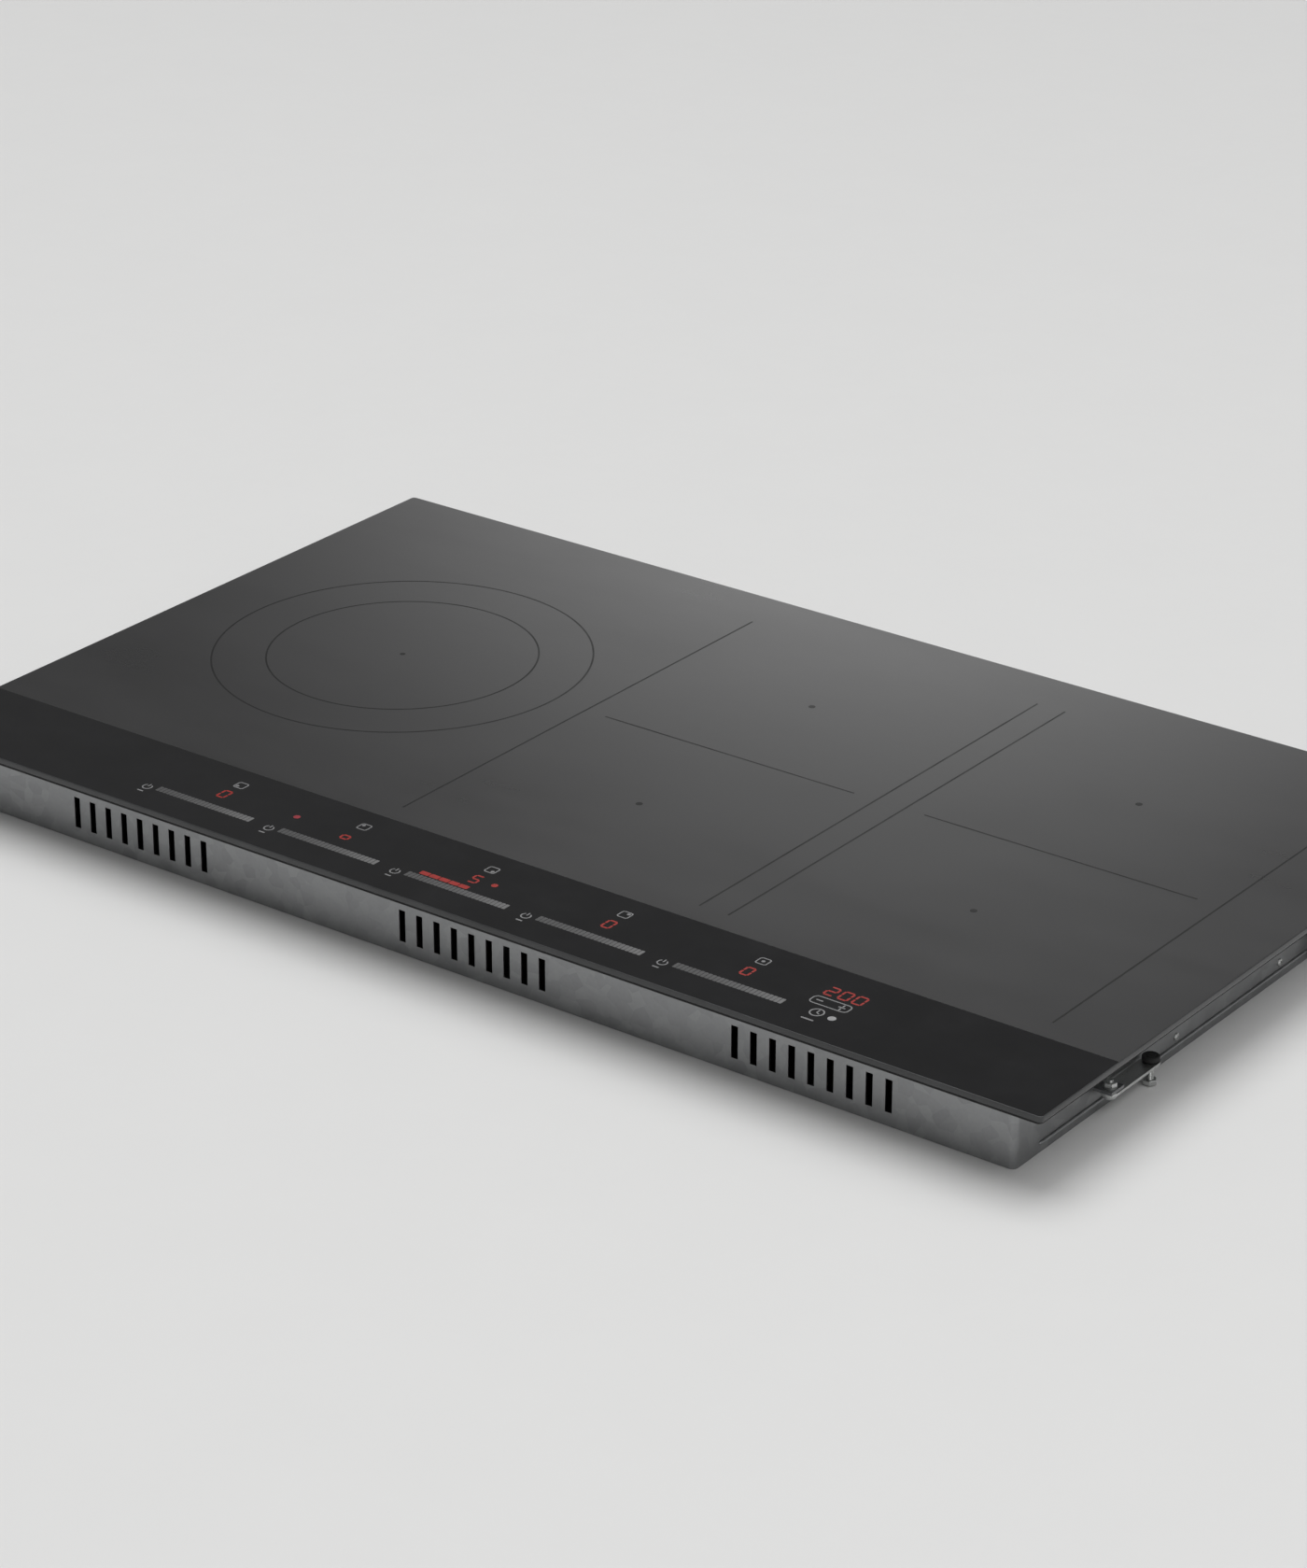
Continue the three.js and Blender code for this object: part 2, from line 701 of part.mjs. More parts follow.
// The outline of the blower's scroll, with its outlet towards -Y. Inset gives the inside.
function scrollOutline(Kind, inset, outletEnd) {
  const radius = FAN.radius - inset;
  const right = FAN.outletWidth - FAN.radius - inset;
  const path = new Kind();
  path.moveTo(-radius, outletEnd);
  path.lineTo(right, outletEnd);
  const meets = -Math.sqrt(radius ** 2 - right ** 2);
  path.lineTo(right, meets);
  path.absarc(0, 0, radius, Math.atan2(meets, right), Math.PI);
  path.lineTo(-radius, outletEnd);
  return path;
}

function fanHousing() {
  const { bottom, top, wall, inlet, outlet } = FAN;
  const outer = slab(scrollOutline(THREE.Shape, 0, -outlet), [], bottom, top, 16);
  const inside = slab(
    scrollOutline(THREE.Shape, wall, -outlet - 2),
    [],
    bottom + wall,
    top - wall,
    16,
  );
  const inletHole = post(0, 0, bottom - 1, bottom + wall + 1, inlet, 24);
  const bearingPost = post(0, 0, 8, top - 0.5, ROTOR.post, 12);
  return join(cut(outer, inside, inletHole), bearingPost);
}

// The blower wheel: a hub on a back disc, forward-curved blades and a rim.
function fanRotor() {
  const { radius, bladeDepth, bottom, top, hub, blades, bore } = ROTOR;
  const disc = post(0, 0, top - 1.6, top, radius, 24);
  const boss = post(0, 0, 9, top - 1, hub, 16);
  const rim = ring(0, 0, radius - bladeDepth, radius, bottom, bottom + 1.4, 12);
  const blade = box(-0.5, 0.5, -bladeDepth / 2, bladeDepth / 2, bottom + 0.5, top - 1)
    .rotateZ(0.6)
    .translate(0, radius - bladeDepth / 2 - 0.3, 0);
  const cage = Array.from({ length: blades }, (_, i) =>
    blade.clone().rotateZ((i * 2 * Math.PI) / blades),
  );
  return cut(join(disc, boss, rim, ...cage), post(0, 0, 0, top + 1, bore, 12));
}

function addPowerModules() {
  MODULE_X.forEach((x, i) => {
    const place = MODULE_NAMES[i];
    const group = new THREE.Group();
    group.position.x = x;
    cooktop.add(group);
    add(`power_board_${place}`, powerBoard(), MATERIALS.circuit, group);
    add(`heat_sink_${place}`, heatSink(), MATERIALS.aluminium, group).position.x = -15;
    add(`fan_housing_${place}`, fanHousing(), MATERIALS.blackPlastic, group).position.y = FAN.y;
    add(`fan_rotor_${place}`, fanRotor(), MATERIALS.blackPlastic, group).position.y = FAN.y;
  });
}

// ---------------------------------------------------------------- filter, controls and wiring

const FILTER = { left: 120, right: 255, front: 186, rear: 232 };

function filterBoard() {
  const { bottom, thickness, standoff, sink } = BOARD;
  const { left, right, front, rear } = FILTER;
  const top = bottom + thickness - sink;
  const feet = [left + 7, right - 7].map((x) =>
    post(x, rear - 7, TRAY.sheet + GAP, bottom + sink, standoff, 8),
  );
  return join(
    box(left, right, front, rear, bottom, bottom + thickness),
    ...feet,
    box(left + 6, left + 30, front + 6, front + 26, top, 25),
    box(left + 96, left + 112, front + 8, front + 34, top, 22),
    box(left + 34, left + 46, front + 6, front + 38, top, 18),
  );
}

const filterChoke = () => {
  const [ringRadius, coreRadius] = [12, 5.5];
  return new THREE.TorusGeometry(ringRadius, coreRadius, 8, 20).translate(
    FILTER.left + 70,
    (FILTER.front + FILTER.rear) / 2,
    BOARD.bottom + BOARD.thickness + GAP + coreRadius,
  );
};

function controlBoard() {
  const { left, right, front, rear } = CONTROL;
  const outline = roundedRectangle(THREE.Shape, left, right, front, rear, 3);
  const holes = [left + 8, -110, 110, right - 8].map((x) => circle(THREE.Path, x, rear - 6, 1.6));
  const top = HEIGHT - GLASS.thickness - GAP;
  return slab(outline, holes, top - BOARD.thickness, top, 3);
}

// A plastic carrier that holds the control board up against the glass on three posts.
function controlHolder() {
  const { left, right, front, rear } = CONTROL;
  const [top, floor, wall] = [49.8, 41, 1.6];
  const shell = cut(
    box(left - 3, right + 3, front, rear + 3, floor, top),
    box(left - 3 + wall, right + 3 - wall, front + wall, rear + 3 - wall, floor + wall, top + 1),
  );
  const ribs = evenly(8, 70).map((offset) => {
    const x = (left + right) / 2 + offset;
    return box(x - 0.8, x + 0.8, front + 1, rear + 2, floor + 1, top - 2);
  });
  const posts = evenly(3, 260).map((offset) =>
    post((left + right) / 2 + offset, rear - 22, TRAY.sheet + GAP, floor + 1, 5, 12),
  );
  return join(shell, ...ribs, ...posts);
}

// A flat section swept along a path.
const sweep = (section, points, steps) =>
  new THREE.ExtrudeGeometry(section, {
    steps,
    bevelEnabled: false,
    curveSegments: 4,
    extrudePath: new THREE.CatmullRomCurve3(points.map((p) => new THREE.Vector3(...p))),
  });

// The supply leads, from the terminal block through the box wall to the filter board.
const mainsHarness = () =>
  sweep(
    circle(THREE.Shape, 0, 0, LEAD.radius),
    [
      [310.2, LEAD.y + 1, LEAD.z],
      [296, LEAD.y, LEAD.z],
      [TERMINAL.left, LEAD.y, LEAD.z],
      [252, LEAD.y + 4, LEAD.z],
      [236, LEAD.y + 7, LEAD.z],
    ],
    10,
  );

// The flat cable from the control carrier down to the middle power board.
const controlRibbon = () =>
  sweep(
    new THREE.Shape([
      new THREE.Vector2(-10, -0.6),
      new THREE.Vector2(10, -0.6),
      new THREE.Vector2(10, 0.6),
      new THREE.Vector2(-10, 0.6),
    ]),
    [
      [-70, -186.1, 46],
      [-70, -184, 36],
      [-70, -176, 18],
      [-70, -163, 9.6],
      [-70, -149, 8.6],
    ],
    10,
  );

// ---------------------------------------------------------------- put together

add("glass_top", glassTop(), MATERIALS.blackGlass);
add("support_frame", supportFrame(), MATERIALS.aluminium);
add("perimeter_seal", perimeterSeal(), MATERIALS.foam);
add("bottom_tray", bottomTray(), MATERIALS.galvanised);
add("terminal_box", terminalBox(), MATERIALS.blackPlastic);
add("terminal_cover", terminalCover(), MATERIALS.blackPlastic);
add("terminal_block", terminalBlock(), MATERIALS.whitePlastic);
add("cable_gland", cableGland(), MATERIALS.blackPlastic);
addClamps();
addCoils();
addPowerModules();
add("filter_board", filterBoard(), MATERIALS.circuit);
add("filter_choke", filterChoke(), MATERIALS.copper);
add("control_board", controlBoard(), MATERIALS.circuit);
add("control_holder", controlHolder(), MATERIALS.blackPlastic);
add("mains_harness", mainsHarness(), MATERIALS.wire);
add("control_ribbon", controlRibbon(), MATERIALS.wire);

export default cooktop;
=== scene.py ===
import math
import random

import bmesh
import bpy
from mathutils import Matrix, Vector
from mathutils.geometry import tessellate_polygon


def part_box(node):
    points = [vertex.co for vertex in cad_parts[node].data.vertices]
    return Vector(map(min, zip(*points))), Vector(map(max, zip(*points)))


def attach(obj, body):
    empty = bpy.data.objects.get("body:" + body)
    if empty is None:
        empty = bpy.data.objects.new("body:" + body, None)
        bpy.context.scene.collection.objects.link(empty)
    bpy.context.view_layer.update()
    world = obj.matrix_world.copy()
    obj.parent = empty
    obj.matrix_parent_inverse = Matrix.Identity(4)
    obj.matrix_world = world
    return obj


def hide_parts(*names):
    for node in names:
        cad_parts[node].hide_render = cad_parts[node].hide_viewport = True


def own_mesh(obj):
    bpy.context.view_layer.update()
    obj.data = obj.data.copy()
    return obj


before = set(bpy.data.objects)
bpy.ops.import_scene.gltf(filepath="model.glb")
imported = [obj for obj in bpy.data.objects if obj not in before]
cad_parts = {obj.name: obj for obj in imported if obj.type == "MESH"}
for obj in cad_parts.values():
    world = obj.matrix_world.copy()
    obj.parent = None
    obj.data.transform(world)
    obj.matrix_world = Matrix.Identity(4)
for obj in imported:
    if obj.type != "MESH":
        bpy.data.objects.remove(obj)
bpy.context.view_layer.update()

# Sizes in this file are in millimetres unless a name says otherwise. Meshes are scaled to metres when made.
MM = 0.001
HOUSING = "housing"
MODULES = ("left", "middle", "right")
CORNERS = ("front_left", "front_right", "rear_left", "rear_right")
PAIR_SPOTS = ("middle_front", "middle_rear", "right_front", "right_rear")
SPOTS = ("left",) + PAIR_SPOTS


def box_mm(node):
    low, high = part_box(node)
    return [v / MM for v in low], [v / MM for v in high]


def centre_mm(node):
    low, high = box_mm(node)
    return [(a + b) / 2 for a, b in zip(low, high)]


# ------------------------------------------------------------------ camera, light and floor

# Metres, degrees and millimetres of focal length.
CAMERA_AT = (1.6791, -2.2645, 1.3462)
CAMERA_YAW = 36.957
CAMERA_PITCH = 24.843
CAMERA_LENS = 107.95


def add_camera():
    data = bpy.data.cameras.new("camera")
    data.lens = CAMERA_LENS
    data.sensor_width = 36
    data.clip_end = 60
    camera = bpy.data.objects.new("camera", data)
    camera.location = CAMERA_AT
    camera.rotation_euler = (math.radians(90 - CAMERA_PITCH), 0, math.radians(CAMERA_YAW))
    bpy.context.scene.collection.objects.link(camera)
    bpy.context.scene.camera = camera


def add_light(name, kind, power):
    data = bpy.data.lights.new(name, kind)
    data.energy = power
    light = bpy.data.objects.new(name, data)
    bpy.context.scene.collection.objects.link(light)
    return light


def add_softbox(name, location, target, width, height, power):
    light = add_light(name, "AREA", power)
    light.data.shape = "RECTANGLE"
    light.data.size = width
    light.data.size_y = height
    light.location = location
    aim = Vector(target) - Vector(location)
    light.rotation_euler = aim.to_track_quat("-Z", "Y").to_euler()
    light.visible_camera = False
    return light


def feed(tree, socket, value):
    """Sets a socket to a value, or links an output to it."""
    if isinstance(value, bpy.types.NodeSocket):
        tree.links.new(value, socket)
    else:
        socket.default_value = value


def add_node(tree, kind, inputs=None, **settings):
    node = tree.nodes.new(kind)
    for key, value in settings.items():
        setattr(node, key, value)
    for socket, value in (inputs or {}).items():
        feed(tree, node.inputs[socket], value)
    return node


def add_span(tree, value, start, end, low, high, curve="LINEAR"):
    """Maps a value from start..end to low..high, and holds it beyond both ends."""
    inputs = {"Value": value, "From Min": start, "From Max": end, "To Min": low, "To Max": high}
    return add_node(tree, "ShaderNodeMapRange", inputs, interpolation_type=curve).outputs["Result"]


def feather(light, sharpness):
    """The softbox fades smoothly to nothing at its edges."""
    light.data.use_nodes = True
    tree = light.data.node_tree
    place = add_node(tree, "ShaderNodeNewGeometry").outputs["Parametric"]
    centred = add_node(tree, "ShaderNodeVectorMath", {0: place, 1: (0.5, 0.5, 0)}, operation="SUBTRACT")
    radius = add_node(tree, "ShaderNodeVectorMath", {0: centred.outputs["Vector"]}, operation="LENGTH")
    fade = add_span(tree, radius.outputs["Value"], 0.0, 0.5, sharpness, 0.0, "SMOOTHSTEP")
    feed(tree, tree.nodes["Emission"].inputs["Strength"], fade)


def spare(light, stage_object):
    """The light falls on the object only, so it leaves no patch on the floor."""
    receivers = bpy.data.collections.new(light.name + "_receivers")
    receivers.objects.link(stage_object)
    receivers.collection_objects[0].light_linking.link_state = "EXCLUDE"
    light.light_linking.receiver_collection = receivers


def add_fill(strength, tilt, softness):
    """Very soft parallel light, which keeps the floor even out to the horizon."""
    light = add_light("sky_fill", "SUN", strength)
    light.data.angle = math.radians(softness)
    light.rotation_euler = [math.radians(angle) for angle in tilt]


def add_world(overhead, horizon, low, high):
    """A dim studio with walls lit near the floor: brightness goes by the elevation in degrees alone."""
    world = bpy.data.worlds.new("studio")
    world.use_nodes = True
    tree = world.node_tree
    direction = add_node(tree, "ShaderNodeTexCoord").outputs["Generated"]
    height = add_node(tree, "ShaderNodeSeparateXYZ", {"Vector": direction}).outputs["Z"]
    start, end = math.sin(math.radians(low)), math.sin(math.radians(high))
    background = tree.nodes["Background"].inputs
    feed(tree, background["Color"], (1, 1, 1, 1))
    feed(tree, background["Strength"], add_span(tree, height, start, end, horizon, overhead, "SMOOTHSTEP"))
    bpy.context.scene.world = world


# ------------------------------------------------------------------ materials


class Surface:
    """A node material on Blender's principled shader, with helpers for procedural detail in object space."""

    def __init__(self, name, roughness, metallic=0.0, specular=0.5):
        self.material = bpy.data.materials.new(name)
        self.material.use_nodes = True
        self.tree = self.material.node_tree
        self.shader = self.tree.nodes["Principled BSDF"]
        self.set("Roughness", roughness)
        self.set("Metallic", metallic)
        self.set("Specular IOR Level", specular)
        self.coords = self.node("ShaderNodeTexCoord").outputs["Object"]

    def set(self, socket, value):
        feed(self.tree, self.shader.inputs[socket], value)

    def node(self, kind, inputs=None, **settings):
        return add_node(self.tree, kind, inputs, **settings)

    def mapped(self, **inputs):
        return self.node("ShaderNodeMapping", {"Vector": self.coords, **inputs}).outputs["Vector"]

    def noise(self, scale, detail=3.0, rough=0.5, stretch=(1, 1, 1)):
        inputs = {"Vector": self.mapped(Scale=stretch), "Scale": scale, "Detail": detail, "Roughness": rough}
        return self.node("ShaderNodeTexNoise", inputs).outputs["Fac"]

    def cells(self, scale, output="Distance", stretch=(1, 1, 1)):
        inputs = {"Vector": self.mapped(Scale=stretch), "Scale": scale}
        return self.node("ShaderNodeTexVoronoi", inputs).outputs[output]

    def ramp(self, value, stops):
        ramp = self.node("ShaderNodeValToRGB", {"Fac": value})
        elements = ramp.color_ramp.elements
        while len(elements) < len(stops):
            elements.new(0.5)
        for element, (position, color) in zip(elements, stops):
            element.position = position
            element.color = (*color, 1)
        return ramp.outputs["Color"]

    def shades(self, value, color, low, high, start=0.3, end=0.7):
        """One colour, darkened or lightened by a share that runs from low to high."""
        return self.ramp(value, [(start, varied(color, low)), (end, varied(color, high))])

    def scaled(self, value, low, high, start=0.3, end=0.7):
        return add_span(self.tree, value, start, end, low, high)

    def maths(self, operation, a, b=0):
        return self.node("ShaderNodeMath", {0: a, 1: b}, operation=operation).outputs["Value"]

    def mixed(self, a, share_a, b, share_b):
        return self.maths("ADD", self.maths("MULTIPLY", a, share_a), self.maths("MULTIPLY", b, share_b))

    def bump(self, height, strength, distance):
        inputs = {"Strength": strength, "Distance": distance, "Height": height}
        self.set("Normal", self.node("ShaderNodeBump", inputs).outputs["Normal"])


def varied(color, spread):
    return tuple(min(1.0, c * (1 + spread)) for c in color)


def plain_surface(name, color, roughness, spread=0.15, grain=90.0, relief=0.05, specular=0.5):
    """Moulded or cast stuff: soft colour drift, uneven gloss and a fine grain."""
    surface = Surface(name, roughness, specular=specular)
    surface.set("Base Color", surface.shades(surface.noise(14.0, 4.0), color, -spread, spread))
    gloss = surface.scaled(surface.noise(55.0), roughness * 0.85, min(1.0, roughness * 1.15))
    surface.set("Roughness", gloss)
    surface.bump(surface.noise(grain * 12, 2.0), relief, 0.0002)
    return surface.material


def brushed_metal(name, color, roughness, stretch, spread=0.12, relief=0.04):
    """Rolled or brushed metal, with its grain drawn out along the axis whose stretch is small."""
    surface = Surface(name, roughness, 1.0)
    grain = surface.noise(900.0, 3.0, 0.6, stretch)
    stain = surface.noise(9.0, 5.0)
    surface.set("Base Color", surface.shades(surface.mixed(grain, 0.5, stain, 0.5), color, -spread, spread))
    surface.set("Roughness", surface.scaled(grain, roughness * 0.8, roughness * 1.25))
    surface.bump(grain, relief, 0.0002)
    return surface.material


def galvanised_steel(name):
    """Zinc-coated sheet with its faint crystal spangle."""
    surface = Surface(name, 0.42, 1.0)
    spangle = surface.cells(115.0, output="Color")
    mix = surface.mixed(spangle, 0.75, surface.cells(420.0), 0.2)
    surface.set("Base Color", surface.ramp(mix, [(0.1, (0.27, 0.275, 0.28)), (0.9, (0.35, 0.355, 0.36))]))
    surface.set("Roughness", surface.scaled(mix, 0.36, 0.46, 0.1, 0.9))
    surface.bump(surface.noise(240.0, 3.0), 0.05, 0.0002)
    return surface.material


def cooking_glass(name):
    """Dark glass-ceramic under a fine satin print, with a trace of wiping marks."""
    surface = Surface(name, 0.3)
    smear = surface.noise(7.0, 5.0, 0.6, (1.0, 2.6, 1.0))
    shade = surface.mixed(surface.cells(1500.0), 0.25, smear, 0.75)
    stops = [(0.2, (0.018, 0.018, 0.0185)), (0.8, (0.025, 0.025, 0.0255))]
    surface.set("Base Color", surface.ramp(shade, stops))
    surface.set("Roughness", surface.scaled(smear, 0.27, 0.34))
    surface.bump(surface.noise(1800.0, 1.0), 0.02, 0.00005)
    return surface.material


def gloss_glass(name, color, roughness):
    """Polished black glass with faint fingerprints in its gloss."""
    surface = Surface(name, roughness, specular=0.45)
    prints = surface.noise(26.0, 6.0, 0.65)
    surface.set("Base Color", surface.shades(prints, color, 0, 0.5, 0.35, 0.75))
    surface.set("Roughness", surface.scaled(prints, roughness, roughness + 0.06, 0.45, 0.75))
    return surface.material


def lit(name, color, strength):
    """A lamp or digit shining through the glass: a dark body with a glow a little uneven over its area."""
    surface = Surface(name, 0.3)
    surface.set("Base Color", surface.shades(surface.noise(300.0), color, -0.93, -0.88))
    surface.set("Emission Color", surface.shades(surface.noise(420.0), color, -0.15, 0))
    surface.set("Emission Strength", strength)
    return surface.material


def printed_scale(name):
    """Grey screen print of the slider scales, growing lighter towards each scale's right end."""
    surface = Surface(name, 0.45)
    across = surface.node("ShaderNodeSeparateXYZ", {"Vector": surface.coords}).outputs["X"]
    along = surface.maths("FRACT", surface.maths("DIVIDE", surface.maths("ADD", across, 0.9875), 0.105))
    stops = [(0.12, (0.06, 0.06, 0.061)), (0.5, (0.085, 0.085, 0.086)), (0.84, (0.15, 0.15, 0.151))]
    surface.set("Base Color", surface.ramp(along, stops))
    surface.set("Roughness", surface.scaled(surface.noise(800.0), 0.4, 0.52))
    return surface.material


def litz_copper(name):
    """Varnished copper strands twisted into one wire."""
    surface = Surface(name, 0.36, 1.0)
    strands = surface.cells(1500.0, stretch=(1.0, 1.0, 0.45))
    shade = surface.mixed(strands, 0.6, surface.noise(30.0, 3.0), 0.4)
    surface.set("Base Color", surface.ramp(shade, [(0.15, (0.60, 0.25, 0.11)), (0.65, (0.30, 0.11, 0.05))]))
    surface.set("Roughness", surface.scaled(strands, 0.32, 0.5, 0.1, 0.7))
    surface.bump(strands, 0.5, 0.0002)
    return surface.material


def circuit_surface(name):
    """Green solder mask over copper tracks, which show as slightly lighter lines that run both ways."""
    surface = Surface(name, 0.35)
    tracks = {"Scale": 42.0, "Mortar Size": 0.022, "Mortar Smooth": 0.1, "Brick Width": 0.9, "Row Height": 0.12}
    lines = []
    for turn in (0.0, math.pi / 2):
        tracks["Vector"] = surface.mapped(Rotation=(0, 0, turn))
        lines.append(surface.node("ShaderNodeTexBrick", tracks, offset=0.37).outputs["Fac"])
    where = surface.scaled(surface.noise(22.0, 2.0), 0.0, 1.0, 0.46, 0.54)
    relief = surface.mixed(lines[0], where, lines[1], surface.maths("SUBTRACT", 1.0, where))
    surface.set("Base Color", surface.ramp(relief, [(0.2, (0.008, 0.06, 0.022)), (0.8, (0.025, 0.14, 0.05))]))
    surface.set("Roughness", surface.scaled(surface.noise(60.0), 0.3, 0.42))
    surface.bump(relief, 0.3, 0.0001)
    return surface.material


GLASS_SATIN = cooking_glass("cooking_glass")
GLASS_GLOSS = gloss_glass("control_glass", (0.006, 0.006, 0.0065), 0.07)
GLASS_EDGE = gloss_glass("ground_glass_edge", (0.035, 0.036, 0.037), 0.22)
ZONE_PRINT = plain_surface("zone_print", (0.008, 0.008, 0.008), 0.5, specular=0.22)
SCALE_PRINT = printed_scale("scale_print")
SYMBOL_PRINT = plain_surface("symbol_print", (0.20, 0.20, 0.205), 0.5, grain=300.0)
RED_LIGHT = lit("red_segments", (1.0, 0.055, 0.04), 0.2)
PINK_LIGHT = lit("pink_indicator", (1.0, 0.085, 0.13), 0.17)
WHITE_LIGHT = lit("white_indicator", (0.9, 0.9, 0.92), 0.24)
STEEL = galvanised_steel("galvanised_sheet")
FOAM = plain_surface("foam_seal", (0.014, 0.014, 0.014), 0.95, grain=160.0, relief=0.5)
ALUMINIUM = brushed_metal("rolled_aluminium", (0.62, 0.63, 0.64), 0.38, (0.04, 1.0, 1.0))
ALUMINIUM_FINS = brushed_metal("extruded_aluminium", (0.60, 0.61, 0.62), 0.34, (1.0, 0.03, 1.0))
ZINC = brushed_metal("zinc_plate", (0.60, 0.61, 0.60), 0.33, (1.0, 1.0, 0.3))
BLACK_PLASTIC = plain_surface("black_moulding", (0.018, 0.018, 0.019), 0.5, grain=60.0, relief=0.12)
WHITE_PLASTIC = plain_surface("white_moulding", (0.72, 0.70, 0.65), 0.45, spread=0.04)
RUBBER = plain_surface("rubber_pad", (0.02, 0.02, 0.02), 0.8, relief=0.2)
FERRITE = plain_surface("ferrite", (0.035, 0.035, 0.038), 0.65, relief=0.15)
FELT = plain_surface("fibre_felt", (0.70, 0.66, 0.56), 0.95, spread=0.08, grain=40.0, relief=0.6)
LITZ = litz_copper("litz_wire")
COPPER = brushed_metal("varnished_copper", (0.62, 0.27, 0.13), 0.35, (1.0, 1.0, 1.0), 0.25, 0.15)
SOLDER_MASK = circuit_surface("solder_mask")
RED_WIRE = plain_surface("red_insulation", (0.30, 0.02, 0.015), 0.45)
GREY_CABLE = plain_surface("grey_ribbon", (0.33, 0.34, 0.35), 0.5)
BLACK_PART = plain_surface("component_black", (0.02, 0.02, 0.022), 0.4)
YELLOW_PART = plain_surface("film_capacitor", (0.55, 0.33, 0.03), 0.4)


# ------------------------------------------------------------------ meshes


def finish_piece(name, bm, materials, body=HOUSING, slot=None, replaces=(), smooth=32, bevel=0.0, bevel_segments=2):
    """Makes the mesh in metres, shades it, adds a bevel where asked and hangs it on its body."""
    bmesh.ops.scale(bm, vec=(MM, MM, MM), verts=bm.verts)
    bmesh.ops.recalc_face_normals(bm, faces=bm.faces)
    mesh = bpy.data.meshes.new(name)
    bm.to_mesh(mesh)
    bm.free()
    for material in materials if isinstance(materials, (list, tuple)) else [materials]:
        mesh.materials.append(material)
    mesh.shade_smooth()
    mesh.set_sharp_from_angle(angle=math.radians(smooth))
    piece = bpy.data.objects.new(name, mesh)
    bpy.context.scene.collection.objects.link(piece)
    if bevel:
        add_bevel(piece, bevel, bevel_segments)
    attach(piece, body)
    if replaces:
        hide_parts(*replaces)
    return piece


def add_bevel(piece, width, segments=2):
    bevel = piece.modifiers.new("edges", "BEVEL")
    bevel.width = width * MM
    bevel.segments = segments
    bevel.limit_method = "ANGLE"
    bevel.angle_limit = math.radians(40)
    bevel.harden_normals = True


def arc(cx, cy, radius, start, end, steps):
    """Points on a circular arc, angles in degrees, both ends included."""
    angles = [math.radians(start + (end - start) * i / steps) for i in range(steps + 1)]
    return [(cx + radius * math.cos(angle), cy + radius * math.sin(angle)) for angle in angles]


def circle(cx, cy, radius, steps=64):
    return arc(cx, cy, radius, 0, 360, steps)[:-1]


def rectangle(cx, cy, width, depth, radius=0.0, steps=6):
    """A rectangle's outline, anticlockwise, with round corners where radius is given."""
    x, y = width / 2, depth / 2
    if radius <= 0:
        return [(cx - x, cy - y), (cx + x, cy - y), (cx + x, cy + y), (cx - x, cy + y)]
    corners = [(x, -y, -90), (x, y, 0), (-x, y, 90), (-x, -y, 180)]
    points = []
    for px, py, start in corners:
        ox = cx + px - math.copysign(radius, px)
        oy = cy + py - math.copysign(radius, py)
        points += arc(ox, oy, radius, start, start + 90, steps)
    return points


def stitch(bm, a, b, material=0):
    """Joins two rings of vertices with quads, or a ring and a single vertex with triangles."""
    steps = max(len(a), len(b))
    faces = []
    for i in range(steps if steps > 1 else 0):
        j = (i + 1) % steps
        near = (a[0],) if len(a) == 1 else (a[i], a[j])
        far = (b[0],) if len(b) == 1 else (b[j], b[i])
        faces.append(bm.faces.new(near + far))
        faces[-1].material_index = material
    return faces


def skin(bm, rings, closed=False, material=0):
    """Joins each ring to the next, and the last to the first where the row is closed."""
    for a, b in zip(rings, rings[1:] + (rings[:1] if closed else [])):
        stitch(bm, a, b, material)


def add_ends(bm, points, first, second, material=0):
    """Fills both ends of a prism whose outlines may have holes."""
    for triangle in tessellate_polygon([[Vector((*point, 0)) for point in loop] for loop in points]):
        bm.faces.new([first[i] for i in triangle]).material_index = material
        bm.faces.new([second[i] for i in reversed(triangle)]).material_index = material


def add_plate(bm, outline, z0, z1, holes=(), material=0):
    """A flat piece with square edges, between z0 and z1."""
    loops = [list(outline)] + [list(hole) for hole in holes]
    flat = [point for loop in loops for point in loop]
    low = [bm.verts.new((x, y, z0)) for x, y in flat]
    high = [bm.verts.new((x, y, z1)) for x, y in flat]
    add_ends(bm, loops, high, low, material)
    start = 0
    for loop in loops:
        end = start + len(loop)
        stitch(bm, low[start:end], high[start:end], material)
        start = end


def add_strip(bm, points, width, z0, z1, material=0):
    """A flat band of constant width along an open line of points."""
    half = width / 2
    left, right = [], []
    for i, (x, y) in enumerate(points):
        ax, ay = points[max(0, i - 1)]
        bx, by = points[min(len(points) - 1, i + 1)]
        length = math.hypot(bx - ax, by - ay)
        nx, ny = -(by - ay) / length * half, (bx - ax) / length * half
        left.append((x + nx, y + ny))
        right.append((x - nx, y - ny))
    add_plate(bm, right + left[::-1], z0, z1, material=material)


def add_box(bm, x0, x1, y0, y1, z0, z1, material=0):
    add_plate(bm, [(x0, y0), (x1, y0), (x1, y1), (x0, y1)], z0, z1, material=material)


def add_block(bm, x, y, width, depth, radius, steps, z0, z1, material=0):
    """A box centred on x, y with round upright edges."""
    add_plate(bm, rectangle(x, y, width, depth, radius, steps), z0, z1, material=material)


